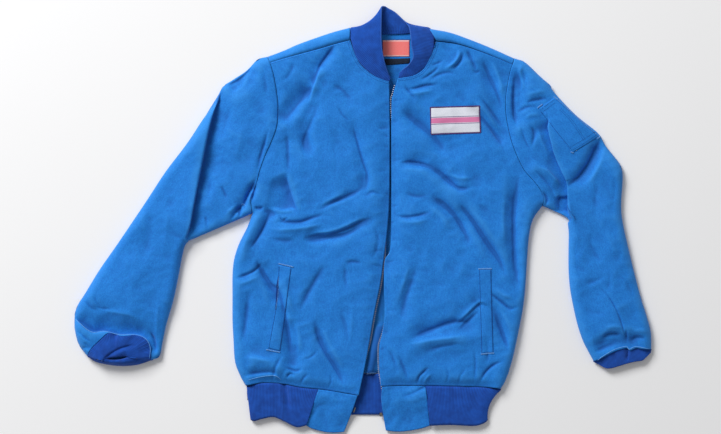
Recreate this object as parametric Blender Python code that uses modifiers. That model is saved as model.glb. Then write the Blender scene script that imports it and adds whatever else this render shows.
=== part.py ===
"""Work jacket of cotton twill with rib-knit collar, cuffs and waistband, laid on its back, unzipped.

Left and right are the wearer's. +Z is up, +Y points to the collar, and the back lies on z = 0.
Outlines are read in the pixels of the reference picture (y down), where one pixel is the real
chest width over its width in pixels; heights, widths and walls are real sizes in metres.
"""

import math
from collections import namedtuple

import bmesh
import bpy
from mathutils import Vector
from mathutils.bvhtree import BVHTree

# driving sizes, metres
CHEST_WIDTH = 0.5415  # armpit to armpit across the closed front
CLOTH = 0.0012  # twill wall
RIB_KNIT = 0.0024  # doubled rib knit
TAPE = 0.0010  # zip tape and labels
SEAM_GAP = 0.0004  # between pieces that are sewn edge to edge
LIE = 0.0160  # top of the upper layer over the floor
TURN = 0.0055  # height of the outermost line of a rolled edge
ROLL = 0.0160  # how far in from the outline the roll ends
RIB_PITCH = 0.0085  # raised ribs, one for two or three of the real ones
RIB_RISE = 0.0005
TAB_FREE_HEIGHT = 0.0088  # middle of the waistband ends at their free edge
RIGHT_CUFF_UNDER_HEIGHT = 0.0030  # heights of the middle of the rib, for both cuffs
RIGHT_CUFF_CORNER_HEIGHT = 0.0070
RIGHT_CUFF_TOP_HEIGHT = 0.0200
RIGHT_CUFF_SLOT_HEIGHT = 0.0125
LEFT_CUFF_EDGE_HEIGHT = 0.0052
LEFT_CUFF_MOUTH_HEIGHT = 0.0100
CUFF_TUCK = 0.0018  # how far the left cuff starts below its sleeve
LAID_LIFT = 0.0006  # gap under a piece that is sewn on another
LABEL = 0.0006
TAPE_PLACES = [0.0070, 0.0020, -0.0010]  # in from the edge of the cloth, and out past it

# the reference picture, pixels
CHEST_PIXELS = 285.0
PICTURE_CENTRE = (362.5, 220.0)
PIXEL = CHEST_WIDTH / CHEST_PIXELS

Fold = namedtuple("Fold", "name path width rise")
Step = namedtuple("Step", "name path high_width high low_width low")
Swell = namedtuple("Swell", "name centre radius rise")
Section = namedtuple("Section", "seam free seam_z free_z")

# --- outlines that roll from the upper layer to the lower one
RIGHT_ARM_OUTER = [
    (268, 57), (258, 60), (247, 71), (235, 79), (223, 87), (218, 95), (210, 108), (190, 140),
    (166, 172), (145, 204), (118, 244), (100, 270), (86, 293), (78, 306), (75, 318), (76, 332),
    (80, 345), (88, 356),
]
RIGHT_ARM_INNER = [
    (252.5, 213.5), (240, 218), (225, 225), (210, 231), (197, 235), (189, 240), (184.5, 246),
    (181, 256), (178, 276), (173, 300), (167, 324), (163, 343), (160, 356), (152, 359.7),
]
RIGHT_SIDE = [
    (245.5, 385), (240, 375), (235, 361), (233.5, 340), (232.5, 320), (232.5, 296), (232.5, 276),
    (234, 260), (239, 244), (247, 228), (252.5, 213.5),
]
LEFT_ARM_OUTER = [
    (513.5, 58.5), (525, 63), (540, 77), (549, 85), (554, 93), (575, 115), (597, 133), (605, 146),
    (617, 161), (621, 169), (622, 180), (620.5, 205), (622, 222), (627, 245), (633, 270),
    (640, 297), (646, 316), (650, 332), (650.5, 349),
]
LEFT_ARM_INNER = [
    (542, 206), (549, 209), (560, 214), (567, 218.5), (568.5, 224), (568, 245), (568, 270),
    (569.5, 289), (573, 308), (577, 325), (582, 340), (587, 350), (593, 361),
]
LEFT_SIDE = [
    (501, 388), (505.5, 380), (511, 364), (515, 348), (520, 324), (523.5, 304), (525.5, 284),
    (527, 260), (529, 236), (533, 219), (542, 206),
]
RIGHT_SHOULDER = [(350, 28), (330, 33.5), (300, 44), (284, 51), (268, 57)]
LEFT_SHOULDER = [(429, 29), (450, 33), (470, 40), (490, 48), (513.5, 58.5)]
ROLLED_OUTLINES = [
    RIGHT_ARM_OUTER, RIGHT_ARM_INNER, RIGHT_SIDE, LEFT_ARM_OUTER, LEFT_ARM_INNER, LEFT_SIDE,
    RIGHT_SHOULDER, LEFT_SHOULDER,
]

# --- seams
RIGHT_HOLE = [
    (268, 57), (269.5, 61), (272, 68), (275, 80), (278, 100), (278.5, 115), (277, 128), (272, 142),
    (266, 155), (260.5, 170), (258.5, 178), (255, 189), (251.5, 200), (252.5, 213.5),
]
RIGHT_BACK_HOLE = [
    (252.5, 213.5), (261, 190), (269, 160), (273, 130), (274, 100), (271, 74), (268, 57),
]
LEFT_HOLE = [
    (513.5, 58.5), (512.8, 62.5), (510, 70), (507, 85), (505, 100), (505.5, 115), (508, 130),
    (512, 145), (518, 160), (524, 171), (532, 180), (539, 189), (543, 198), (542, 206),
]
LEFT_BACK_HOLE = [
    (542, 206), (530, 185), (518, 158), (512, 130), (510, 100), (511, 76), (513.5, 58.5),
]
RIGHT_CUFF_SEAM = [
    (88, 356), (92, 349), (97, 343.6), (107.4, 335), (116, 334), (121, 337), (129, 337),
    (137, 336), (146, 339.5), (151, 347.5), (152, 359.7),
]
RIGHT_CUFF_UNDER = [(88, 356), (96, 361.3), (110, 364.5), (125, 365.5), (139, 364), (152, 359.7)]
LEFT_CUFF_SEAM = [
    (650.5, 349), (641, 348.5), (635, 347.5), (629, 350), (625, 347.5), (614, 350.5),
    (602, 356.5), (593, 361),
]
LEFT_CUFF_UNDER = [(650.5, 349), (635, 352), (620, 354), (606, 358), (593, 361)]
RIGHT_SHOULDER_SEAM = [(270.7, 63.5), (285, 59), (300, 55), (318, 50), (335, 45), (350, 41)]
RIGHT_NECK = [(350, 41), (353, 50), (357, 59.5), (363, 68), (375, 77), (389, 82)]
LEFT_SHOULDER_SEAM = [(512.4, 64), (490, 55), (470, 48), (455, 44), (436, 42)]
LEFT_NECK = [(436, 42), (433.5, 50), (430, 58), (424, 69), (414, 76), (398, 79)]
RIGHT_WAIST = [
    (245.5, 385), (264, 382), (284, 383.5), (300, 386.5), (320, 388.5), (340, 391.5), (358.5, 394.5),
]
LEFT_WAIST = [(501, 388), (486, 386.5), (460, 385.7), (425, 385), (400, 385), (381, 385.5)]
RIGHT_ZIP = [
    (358.5, 394.5), (364, 375), (370, 345), (376, 310), (380, 280), (384, 255), (387, 230),
    (389, 200), (389.5, 140), (389, 82),
]
LEFT_ZIP = [
    (381, 385.5), (379.5, 365), (379.5, 345), (382, 334), (384.5, 318), (384.5, 300), (384, 280),
    (385, 260), (390.5, 247), (391.5, 200), (391.5, 110), (393.5, 94), (398, 79),
]
BACK_WAIST = [(240.5, 374), (300, 373.5), (372, 373), (440, 374), (508, 374.5)]
BACK_NECK = [(350, 28), (353, 32.5), (362, 35), (389, 36), (416, 35), (426, 33), (429, 29)]

# --- the largest folds: a rise below nothing is a trough
FOLDS = [
    Fold("right shoulder", [(335, 46), (320, 66), (314, 88)], 0.012, -0.0035),
    Fold("right chest hollow", [(312, 86), (296, 100), (279, 124)], 0.015, -0.0050),
    Fold("right chest ridge", [(322, 66), (310, 106)], 0.011, 0.0030),
    Fold("right chest fall", [(318, 84), (305, 128), (310, 158)], 0.012, -0.0030),
    Fold("right armhole plateau", [(264, 194), (292, 196)], 0.026, -0.0030),
    Fold("right placket crease", [(351, 119), (362, 160), (365, 198)], 0.011, -0.0022),
    Fold("right belly crease", [(300, 238), (336, 231), (376, 217)], 0.012, -0.0030),
    Fold("right side hollow", [(274, 206), (262, 232), (247, 264)], 0.014, -0.0040),
    Fold("right side ridge", [(262, 208), (248, 240), (240, 262)], 0.012, 0.0020),
    Fold("right lower side", [(248, 288), (242, 345)], 0.014, -0.0020),
    Fold("right pocket fold", [(262, 262), (272, 284), (277, 305)], 0.013, -0.0030),
    Fold("right pocket hollow", [(289, 318), (293, 350), (292, 370)], 0.014, -0.0040),
    Fold("right hip fold", [(316, 325), (320, 348), (343, 386)], 0.013, -0.0030),
    Fold("right hem puff", [(246, 362), (266, 364), (284, 372)], 0.017, 0.0040),
    Fold("left neck fall", [(404, 108), (425, 128), (447, 157)], 0.018, -0.0040),
    Fold("left chest hollow", [(398, 163), (430, 165), (457, 188)], 0.014, -0.0035),
    Fold("left armhole folds", [(478, 60), (490, 90), (508, 150)], 0.013, -0.0040),
    Fold("left inner armhole", [(467, 105), (487, 122), (503, 145)], 0.012, -0.0025),
    Fold("left side hollow", [(515, 176), (512, 214), (514, 262), (519, 300)], 0.014, -0.0045),
    Fold("left flank fold", [(430, 196), (456, 218), (470, 246)], 0.013, -0.0030),
    Fold("left flank fall", [(458, 204), (488, 245), (505, 276)], 0.013, -0.0035),
    Fold("left pocket fold", [(467, 312), (480, 302), (496, 314), (506, 348)], 0.012, -0.0030),
    Fold("left hem hollow", [(410, 337), (440, 327), (478, 326)], 0.015, -0.0045),
    Fold("left hem ridge", [(410, 347), (440, 340), (474, 340)], 0.012, 0.0025),
    Fold("left lower placket", [(417, 262), (402, 310), (400, 330)], 0.013, -0.0020),
    Fold("right arm top hollow", [(256, 66), (243, 82), (228, 92)], 0.014, -0.0040),
    Fold("right arm underfold", [(236, 214), (248, 196), (256, 182)], 0.010, -0.0030),
    Fold("right cuff dip", [(95, 322), (120, 318), (147, 328)], 0.016, -0.0050),
    Fold("left arm top hollow", [(520, 70), (517, 96), (514, 128)], 0.013, -0.0040),
    Fold("left arm elbow", [(600, 138), (590, 164), (573, 188)], 0.014, -0.0060),
    Fold("left arm ridge", [(526, 165), (548, 174), (560, 186)], 0.012, 0.0020),
    Fold("left arm under hollow", [(561, 196), (562, 212)], 0.012, -0.0040),
    Fold("left cuff dip", [(592, 346), (612, 341), (640, 339)], 0.014, -0.0045),
    Fold("right opening edge", RIGHT_ZIP, 0.018, -0.0020),
    Fold("left opening edge", LEFT_ZIP, 0.018, -0.0020),
    Fold("right waist seam", RIGHT_WAIST, 0.012, -0.0040),
    Fold("left waist seam", LEFT_WAIST, 0.012, -0.0040),
    Fold("right armhole seam", RIGHT_HOLE, 0.008, -0.0012),
    Fold("left armhole seam", LEFT_HOLE, 0.008, -0.0012),
]
# one side of a fold lies over the other: the high side is on the left of the path
STEPS = [
    Step("right arm, forearm over upper arm",
         [(189, 238), (197, 195), (204, 160), (212, 122), (219, 100), (224, 88)],
         0.040, 0.0060, 0.022, 0.0045),
    Step("left arm, elbow crease", [(567, 219), (567, 200), (563, 172), (555, 150), (546, 121)],
         0.026, 0.0030, 0.024, 0.0050),
    Step("right sleeve over its cuff", [(152, 352), (146, 336), (121, 332), (95, 331), (77, 318)],
         0.030, 0.0030, 0.012, 0.0040),
]
SWELLS = [
    Swell("right forearm", (150, 240), 0.075, 0.0030),
    Swell("right cuff balloon", (118, 296), 0.060, 0.0090),
    Swell("left forearm", (600, 250), 0.080, 0.0030),
    Swell("left cuff balloon", (612, 318), 0.050, 0.0060),
    Swell("right shoulder cap", (246, 110), 0.060, 0.0030),
    Swell("left shoulder cap", (545, 140), 0.060, 0.0030),
]

# --- bands, as sections from the sewn edge to the free edge, heights of the band's middle
COLLAR = [
    Section((389, 81.2), (390, 78.6), None, 0.0125),
    Section((382, 79.4), (386.5, 71), None, 0.0170),
    Section((373.8, 75), (383.5, 61), None, 0.0220),
    Section((364.2, 67.3), (381.5, 50), None, 0.0240),
    Section((358, 58), (380.8, 40), None, 0.0245),
    Section((353.9, 47), (380.8, 28), None, 0.0245),
    Section((351.6, 37), (381, 17.5), 0.0120, 0.0225),
    Section((350.9, 31), (381.8, 9.6), 0.0085, 0.0155),
    Section((354.5, 29.8), (384.2, 8.9), 0.0042, 0.0090),
    Section((366, 33.4), (388, 10.5), 0.0031, 0.0064),
    Section((389, 34.6), (394, 14), 0.0031, 0.0058),
    Section((412, 33.8), (401, 19.3), 0.0031, 0.0078),
    Section((424.6, 31.6), (406.5, 24.2), 0.0046, 0.0112),
    Section((430, 32.5), (409.3, 27.5), 0.0088, 0.0172),
    Section((433.6, 38), (410.6, 35), 0.0122, 0.0220),
    Section((432.1, 50.6), (411.6, 47), None, 0.0240),
    Section((428.8, 58), (413.2, 58), None, 0.0240),
    Section((423, 68.3), (408.4, 66.2), None, 0.0225),
    Section((413.4, 75.2), (403.6, 70), None, 0.0185),
    Section((398.6, 78.2), (399.6, 73.8), None, 0.0130),
]
WAIST_RIB = [
    Section((317, 388.7), (305.2, 424.6), None, 0.0088),
    Section((300, 387), (297, 426.6), None, 0.0088),
    Section((284, 384), (285, 421.2), None, 0.0086),
    Section((274, 382.7), (274, 416.6), None, 0.0084),
    Section((263, 382.7), (262.5, 418.4), None, 0.0084),
    Section((252, 384.6), (254.5, 420.6), 0.0080, 0.0074),
    Section((247.7, 386.6), (251.2, 419), 0.0052, 0.0048),
    Section((249, 377), (254, 416), 0.0017, 0.0017),
    Section((262, 374.8), (264, 414.6), 0.0012, 0.0012),
    Section((372, 373.8), (372, 414.6), 0.0012, 0.0012),
    Section((484, 375.2), (477, 414.6), 0.0012, 0.0012),
    Section((495, 378), (483, 415.6), 0.0017, 0.0017),
    Section((499, 389.3), (486.4, 417.5), 0.0052, 0.0048),
    Section((493.5, 388), (480.5, 423), 0.0082, 0.0076),
    Section((480, 386.8), (472, 425.4), None, 0.0086),
    Section((450, 386), (450, 426), None, 0.0088),
    Section((427, 385.5), (431, 424.2), None, 0.0088),
]
RIGHT_CUFF_MOUTH = [
    (106, 358.3), (109, 354), (114, 350.8), (121, 348.4), (128, 346.7), (133.5, 346),
    (133, 352), (128, 357.6), (120, 360.4), (112, 360.8),
]
LEFT_CUFF_MOUTH_TOP = [
    (649.6, 352.6), (644.6, 357.7), (641, 360.3), (632, 361.7), (620.5, 364.9), (611.5, 367.6),
    (605, 367.8), (597, 362.8),
]

PARTS = "work_jacket"


# ---------------------------------------------------------------- lines
def along(points, fractions=None, count=None):
    """Points at even fractions, or at those given, of the length of a smooth line through points."""
    pts = [Vector(p) for p in points]
    ends = [pts[0] * 2 - pts[1]] + pts + [pts[-1] * 2 - pts[-2]]
    dense = []
    steps = 10
    for a, b, c, d in zip(ends, ends[1:], ends[2:], ends[3:]):
        for k in range(steps):
            t = k / steps
            dense.append(0.5 * (2 * b + (c - a) * t + (2 * a - 5 * b + 4 * c - d) * t * t
                                + (3 * b - a - 3 * c + d) * t ** 3))
    dense.append(pts[-1])
    lengths = [0.0]
    for a, b in zip(dense, dense[1:]):
        lengths.append(lengths[-1] + (b - a).length)
    if fractions is None:
        fractions = [k / (count - 1) for k in range(count)]
    found = []
    k = 0
    for f in fractions:
        want = f * lengths[-1]
        while k < len(lengths) - 2 and lengths[k + 1] < want:
            k += 1
        span = lengths[k + 1] - lengths[k]
        found.append(dense[k].lerp(dense[k + 1], (want - lengths[k]) / span if span else 0.0))
    return found


def line_length(points):
    """Length of a line in pixels."""
    return sum((Vector(b) - Vector(a)).length for a, b in zip(points, points[1:]))


def plan(point):
    """A place in the picture as x and y in metres."""
    return Vector(((point[0] - PICTURE_CENTRE[0]) * PIXEL, (PICTURE_CENTRE[1] - point[1]) * PIXEL))


def insets(length, first, last, between):
    """Fractions of a line's length: fixed distances in at both ends and even spans between."""
    head = [d / length for d in first]
    tail = [1 - d / length for d in reversed(last)]
    step = (tail[0] - head[-1]) / between
    return head + [head[-1] + step * k for k in range(1, between)] + tail


def distance_to_line(p, line):
    """Distance from p to a line, how far along it that is, the line's length and which side."""
    best, place, side = 1e9, 0.0, 1.0
    run = 0.0
    for a, b in zip(line, line[1:]):
        ab = b - a
        size = ab.length
        t = min(max((p - a).dot(ab) / (size * size), 0.0), 1.0)
        gap = p - (a + ab * t)
        if gap.length < best:
            best, place = gap.length, run + t * size
            side = math.copysign(1.0, ab.x * gap.y - ab.y * gap.x)
        run += size
    return best, place, run, side


# ---------------------------------------------------------------- heights
def ease(t):
    t = min(max(t, 0.0), 1.0)
    return t * t * (3 - 2 * t)


OUTLINES = [[plan(p) for p in along(line, count=3 * len(line))] for line in ROLLED_OUTLINES]
FOLD_LINES = [(fold, [plan(p) for p in along(fold.path, count=12)]) for fold in FOLDS]
STEP_LINES = [(step, [plan(p) for p in along(step.path, count=14)]) for step in STEPS]


def roll_share(p):
    """Nothing on a rolled outline, 1 where the roll has ended, along a quarter of an ellipse."""
    inward = min(distance_to_line(p, line)[0] for line in OUTLINES) / ROLL
    return math.sqrt(1 - (1 - min(inward, 1.0)) ** 2)


def top_height(p):
    """Outer height of the upper layer at a place in plan."""
    rise = LIE
    for swell in SWELLS:
        reach = (p - plan(swell.centre)).length / swell.radius
        rise += swell.rise * math.exp(-reach * reach)
    for fold, line in FOLD_LINES:
        gap, place, whole, _ = distance_to_line(p, line)
        if gap < 3 * fold.width:
            taper = ease(0.25 + min(place, whole - place) / (0.3 * whole))
            rise += fold.rise * taper * math.exp(-(gap / fold.width) ** 2)
    for step, line in STEP_LINES:
        gap, place, whole, side = distance_to_line(p, line)
        taper = ease(min(place, whole - place) / (0.15 * whole) + 0.3)
        if side > 0:
            rise += step.high * taper * math.exp(-(gap / step.high_width) ** 2)
        else:
            rise -= step.low * taper * math.exp(-(gap / step.low_width) ** 2)
    return TURN + (rise - TURN) * roll_share(p)


def bottom_height(p):
    """Outer height of a lower layer that rests on the floor and curls up to the outline."""
    return TURN * (1 - roll_share(p))


# ---------------------------------------------------------------- cloth
def fractions_of(line):
    lengths = [0.0]
    for a, b in zip(line, line[1:]):
        lengths.append(lengths[-1] + (b - a).length)
    return [v / lengths[-1] for v in lengths]


def patch(bottom, top, near, far):
    """Rows of plan points that fill four border lines; near and far run from bottom to top."""
    across = [(a + b) / 2 for a, b in zip(fractions_of(bottom), fractions_of(top))]
    upward = [(a + b) / 2 for a, b in zip(fractions_of(near), fractions_of(far))]
    rows = []
    for i, v in enumerate(upward):
        row = []
        for j, u in enumerate(across):
            sides = near[i].lerp(far[i], u) + bottom[j].lerp(top[j], v)
            corners = bottom[0].lerp(bottom[-1], u).lerp(top[0].lerp(top[-1], u), v)
            row.append(sides - corners)
        rows.append(row)
    return rows


def material(name, colour, roughness, metallic=0.0):
    made = bpy.data.materials.new(name)
    made.use_nodes = True
    shader = made.node_tree.nodes["Principled BSDF"]
    shader.inputs["Base Color"].default_value = (*colour, 1)
    shader.inputs["Roughness"].default_value = roughness
    shader.inputs["Metallic"].default_value = metallic
    return made


def surface(name, rows, finish, ring=False, flip=False):
    """An object whose open mesh joins rows of points; a ring's rows close on themselves."""
    mesh = bmesh.new()
    made = [[mesh.verts.new(p) for p in row] for row in rows]
    columns = len(rows[0])
    for low, high in zip(made, made[1:]):
        for j in range(columns if ring else columns - 1):
            k = (j + 1) % columns
            corners = [low[j], low[k], high[k], high[j]]
            mesh.faces.new(reversed(corners) if flip else corners)
    data = bpy.data.meshes.new(name)
    mesh.to_mesh(data)
    mesh.free()
    data.materials.append(finish)
    data.shade_smooth()
    made_object = bpy.data.objects.new(name, data)
    parts.objects.link(made_object)
    return made_object


def wall(cloth_object, thickness, offset=-1.0):
    """Gives an open surface its thickness, inwards unless the offset says otherwise."""
    solid = cloth_object.modifiers.new("wall", "SOLIDIFY")
    solid.thickness = thickness
    solid.offset = offset
    return cloth_object


def raise_ribs(band, outer_count, columns):
    """Turns the wall into plain mesh and moves every second column of its outer points out,
    but for those of a face that lies flat on the floor."""
    depsgraph = bpy.context.evaluated_depsgraph_get()
    solid = bpy.data.meshes.new_from_object(band.evaluated_get(depsgraph))
    band.modifiers.clear()
    band.data = solid
    for index in range(outer_count):
        vertex = solid.vertices[index]
        if (index % columns) % 2 and vertex.normal.z > -0.6:
            vertex.co = vertex.co + vertex.normal * RIB_RISE
    return band


def shift(points, x, y):
    """Moves picture points sideways by metres, to leave the gap of a seam."""
    return [Vector((p[0] + x / PIXEL, p[1] - y / PIXEL)) for p in points]


# ---------------------------------------------------------------- body and sleeves
HOLE_HEAD = [0.0, 0.003, 0.008, 0.0128]  # from the outline over the shoulder to its seam
EDGE = [0.0, 0.0028, 0.0085, 0.0165]  # columns that follow a roll
UNDER_EDGE = [0.0, 0.0035, 0.0095, 0.0170]
HOLE_SPANS = 10
UNDER_SPANS = 3
SIDE_ROWS = 15
SLEEVE_ROWS = 24
SHOULDER_SPANS = 6
NECK_SPANS = 6
BACK_SIDE_ROWS = 8
BACK_SHOULDER_POINTS = 7
BACK_NECK_POINTS = 9
SIDE_SEAM_HEIGHT = CLOTH + 1.5 * SEAM_GAP


def sized_insets(line, first, last, between):
    return insets(line_length(line) * PIXEL, first, last, between)


def along_hole(line):
    return along(line, sized_insets(line, HOLE_HEAD, EDGE, HOLE_SPANS))


def along_under(line):
    return along(line, sized_insets(line, UNDER_EDGE, UNDER_EDGE, UNDER_SPANS))


def plan_patch(*borders):
    return patch(*[[plan(p) for p in line] for line in borders])


def on_top(p):
    return Vector((*p, top_height(p)))


def moved(rows, x, y=0.0, z=0.0):
    """Rows moved a little, to leave a seam's gap."""
    return [[p + Vector((x, y, z)) for p in row] for row in rows]


def front_rows(side, waist, hole, zip_edge, shoulder, neck):
    """A front from its side seam and armhole to the zip, and from the waist seam to the neck."""
    hole_line = along_hole(hole)[len(HOLE_HEAD) - 1:]
    near = along(side, count=SIDE_ROWS)[:-1] + hole_line[::-1]
    far = along(zip_edge, count=len(near))
    top = along(shoulder, sized_insets(shoulder, [0.0, 0.004, 0.009, 0.015], [0.0], SHOULDER_SPANS))
    top += along(neck, count=NECK_SPANS + 1)[1:]
    bottom = along(waist, sized_insets(waist, EDGE, [0.0], len(top) - len(EDGE)))
    grid = []
    for i, row in enumerate(plan_patch(bottom, top, near, far)):
        wrapped = 1.0 - ease((i - SIDE_ROWS + 1) / 2)  # 1 along the side seam, none at the armhole
        edge = on_top(row[0])
        edge.z += (SIDE_SEAM_HEIGHT - edge.z) * wrapped
        second = on_top(row[0].lerp(row[1], 0.45 * (1 - wrapped)))
        grid.append([edge, second] + [on_top(p) for p in row[1:]])
    return grid


def sleeve_rings(outer, inner, hole, back_hole, seam, under):
    """A sleeve as rings: over the top from the outer outline to the inner, and back underneath."""
    near = along(outer, count=SLEEVE_ROWS)
    far = along(inner, count=SLEEVE_ROWS)
    upper = plan_patch(along_hole(hole), along_hole(seam), near, far)
    lower = plan_patch(along_under(back_hole)[::-1], along_under(under), near, far)
    rings = []
    for over, below in zip(upper, lower):
        rings.append([on_top(p) for p in over]
                     + [Vector((*p, bottom_height(p))) for p in below[-2:0:-1]])
    return rings


def back_height(p):
    """The back lies flat and curls up only at the shoulders."""
    inward = min(distance_to_line(p, line)[0] for line in OUTLINES[-2:]) / ROLL
    return TURN * (1 - math.sqrt(1 - (1 - min(inward, 1.0)) ** 2))


def make_back(finish):
    """The back on the floor, wrapped over both shoulders to the forward shoulder seams."""
    near = along(RIGHT_SIDE, count=BACK_SIDE_ROWS)[:-1] + along_under(RIGHT_BACK_HOLE)
    far = along(LEFT_SIDE, count=BACK_SIDE_ROWS)[:-1] + along_under(LEFT_BACK_HOLE)
    right_shoulder = along(RIGHT_SHOULDER[::-1], count=BACK_SHOULDER_POINTS)
    left_shoulder = along(LEFT_SHOULDER, count=BACK_SHOULDER_POINTS)
    top = right_shoulder + along(BACK_NECK, count=BACK_NECK_POINTS)[1:-1] + left_shoulder
    bottom = along(BACK_WAIST, count=len(top))
    near[0], far[0] = bottom[0], bottom[-1]
    main = [[Vector((*p, back_height(p))) for p in row]
            for row in plan_patch(bottom, top, near, far)]
    for j in range(BACK_SHOULDER_POINTS):
        main[-1][j].z = main[-1][-1 - j].z = TURN
    back = surface("back", main, finish, flip=True)
    mesh = bmesh.new()
    mesh.from_mesh(back.data)
    for outline, seam, hole in ((right_shoulder, RIGHT_SHOULDER_SEAM, RIGHT_HOLE),
                                (left_shoulder, LEFT_SHOULDER_SEAM[::-1], LEFT_HOLE)):
        armhole = along_hole(hole)[: len(HOLE_HEAD)]
        neck_end = along([outline[-1], seam[-1]], count=len(HOLE_HEAD))
        if seam is not RIGHT_SHOULDER_SEAM:
            neck_end, armhole = armhole, along([outline[0], seam[0]], count=len(HOLE_HEAD))
        flap = plan_patch(outline, along(shift(seam, 0, 2.5 * SEAM_GAP), count=len(outline)),
                          armhole, neck_end)
        made = [[mesh.verts.new(on_top(p)) for p in row] for row in flap]
        for vertex in made[0]:
            vertex.co.z = TURN
        for low, high in zip(made, made[1:]):
            for j in range(len(low) - 1):
                mesh.faces.new([high[j], high[j + 1], low[j + 1], low[j]])
    bmesh.ops.remove_doubles(mesh, verts=mesh.verts, dist=0.00005)
    mesh.to_mesh(back.data)
    mesh.free()
    back.data.shade_smooth()
    return wall(back, CLOTH)


# ---------------------------------------------------------------- knitted bands
def band_rows(sections, across):
    """Rows of a band from its sewn edge to its free edge, even along the sewn edge."""
    def sewn_height(section):
        if section.seam_z is not None:
            return section.seam_z
        return top_height(plan(section.seam)) - RIB_KNIT / 2

    seam = [Vector((*plan(s.seam), sewn_height(s))) for s in sections]
    free = [Vector((*plan(s.free), s.free_z)) for s in sections]
    columns = 2 * round(sum((b - a).length for a, b in zip(seam, seam[1:])) / RIB_PITCH) + 1
    # both edges are sampled at the same share of each section, so a rib runs straight across
    shares = [k * (len(sections) - 1) / (len(sections) * 12) for k in range(len(sections) * 12 + 1)]
    seam_line = [smooth_at(seam, s) for s in shares]
    free_line = [smooth_at(free, s) for s in shares]
    lengths = fractions_of([a.lerp(b, 0.4) for a, b in zip(seam_line, free_line)])
    places = [read_share(lengths, shares, k / (columns - 1)) for k in range(columns)]
    rows = []
    for k in range(across + 1):
        share = k / across
        rows.append([smooth_at(seam, s).lerp(smooth_at(free, s), share) for s in places])
    return rows


def smooth_at(points, place):
    """The point on a smooth line through points, where place counts from point to point."""
    k = min(int(place), len(points) - 2)
    t = place - k
    a = points[k - 1] if k else points[0] * 2 - points[1]
    b, c = points[k], points[k + 1]
    d = points[k + 2] if k + 2 < len(points) else c * 2 - b
    return 0.5 * (2 * b + (c - a) * t + (2 * a - 5 * b + 4 * c - d) * t * t
                  + (3 * b - a - 3 * c + d) * t ** 3)


def read_share(lengths, shares, want):
    for low, high, a, b in zip(lengths, lengths[1:], shares, shares[1:]):
        if high >= want:
            return a + (b - a) * (want - low) / (high - low)
    return shares[-1]


def make_band(name, rows, finish, flip=False, ring=False):
    band = wall(surface(name, rows, finish, ring=ring, flip=flip), RIB_KNIT, offset=0.0)
    return raise_ribs(band, len(rows) * len(rows[0]), len(rows[0]))


def right_cuff_rows():
    """The right cuff is squashed end on, so its mouth looks up out of the sleeve's end."""
    half = 24
    seam = along(RIGHT_CUFF_SEAM, count=half + 1)[:-1]
    under = along(RIGHT_CUFF_UNDER[::-1], count=half + 1)[:-1]
    middle = Vector((120, 351))
    outer = [p.lerp(middle, 0.055) for p in seam + under]
    upper, lower = RIGHT_CUFF_MOUTH[:6], RIGHT_CUFF_MOUTH[5:] + RIGHT_CUFF_MOUTH[:1]
    mouth = along(upper, count=half + 1)[:-1] + along(lower, count=half + 1)[:-1]
    slot = Vector((119, 354.5))
    rows = [[], [], [], []]
    for k, (edge, lip) in enumerate(zip(outer, mouth)):
        on_seam = k < half
        tip = abs(math.sin(math.pi * (k % half) / half))
        if on_seam:
            edge_z = top_height(plan(edge)) - RIB_KNIT / 2
        else:
            rise = RIGHT_CUFF_CORNER_HEIGHT - RIGHT_CUFF_UNDER_HEIGHT
            edge_z = RIGHT_CUFF_UNDER_HEIGHT + rise * (1 - tip) ** 3
        bulge_z = edge_z + (RIGHT_CUFF_TOP_HEIGHT - edge_z) * 0.80
        middle_point = Vector(edge).lerp(lip, 0.55)
        rows[0].append(Vector((*plan(edge), edge_z)))
        rows[1].append(Vector((*plan(middle_point), bulge_z)))
        rows[2].append(Vector((*plan(lip), RIGHT_CUFF_TOP_HEIGHT)))
        rows[3].append(Vector((*plan(Vector(lip).lerp(slot, 0.22)), RIGHT_CUFF_SLOT_HEIGHT)))
    return rows


def left_cuff_rows():
    """The left cuff lies flat and its mouth faces down the picture."""
    half = 18
    rows = []
    for share in (0.0, 0.35, 0.7, 1.0):
        ring = []
        for seam, mouth, lies in ((LEFT_CUFF_SEAM, LEFT_CUFF_MOUTH_TOP, False),
                                  (LEFT_CUFF_UNDER[::-1], LEFT_CUFF_MOUTH_TOP[::-1], True)):
            starts = along(shift(seam, 0, -CUFF_TUCK), count=half + 1)[:-1]
            ends = along(mouth, count=half + 1)[:-1]
            for k, (a, b) in enumerate(zip(starts, ends)):
                p = a.lerp(b, share)
                bulge = math.sin(math.pi * k / half) ** 0.5
                seam_z = top_height(plan(a)) - RIB_KNIT / 2
                high = seam_z + (LEFT_CUFF_MOUTH_HEIGHT - seam_z) * share
                middle_z = RIB_KNIT / 2 if lies else high
                rise = (middle_z - LEFT_CUFF_EDGE_HEIGHT) * bulge
                ring.append(Vector((*plan(p), LEFT_CUFF_EDGE_HEIGHT + rise)))
        rows.append(ring)
    return rows


# ---------------------------------------------------------------- pieces that lie on others
def lying_rows(corners, across, up):
    """Plan rows between four corners given as top left, top right, bottom right, bottom left."""
    a, b, c, d = [plan(p) for p in corners]
    rows = []
    for i in range(up + 1):
        left, right = d.lerp(a, i / up), c.lerp(b, i / up)
        rows.append([left.lerp(right, j / across) for j in range(across + 1)])
    return rows


def make_laid(name, rows, carrier, thickness, finish, lift=LAID_LIFT):
    """A piece on another: its points are those of the carrier's surface, moved up."""
    tree = BVHTree.FromObject(carrier, bpy.context.evaluated_depsgraph_get())
    laid = []
    for row in rows:
        line = []
        for p in row:
            hit = tree.ray_cast(Vector((p.x, p.y, 0.1)), Vector((0, 0, -1)))[0]
            line.append(Vector((p.x, p.y, hit.z + lift)))
        laid.append(line)
    return wall(surface(name, laid, finish), thickness, offset=1.0)


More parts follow.
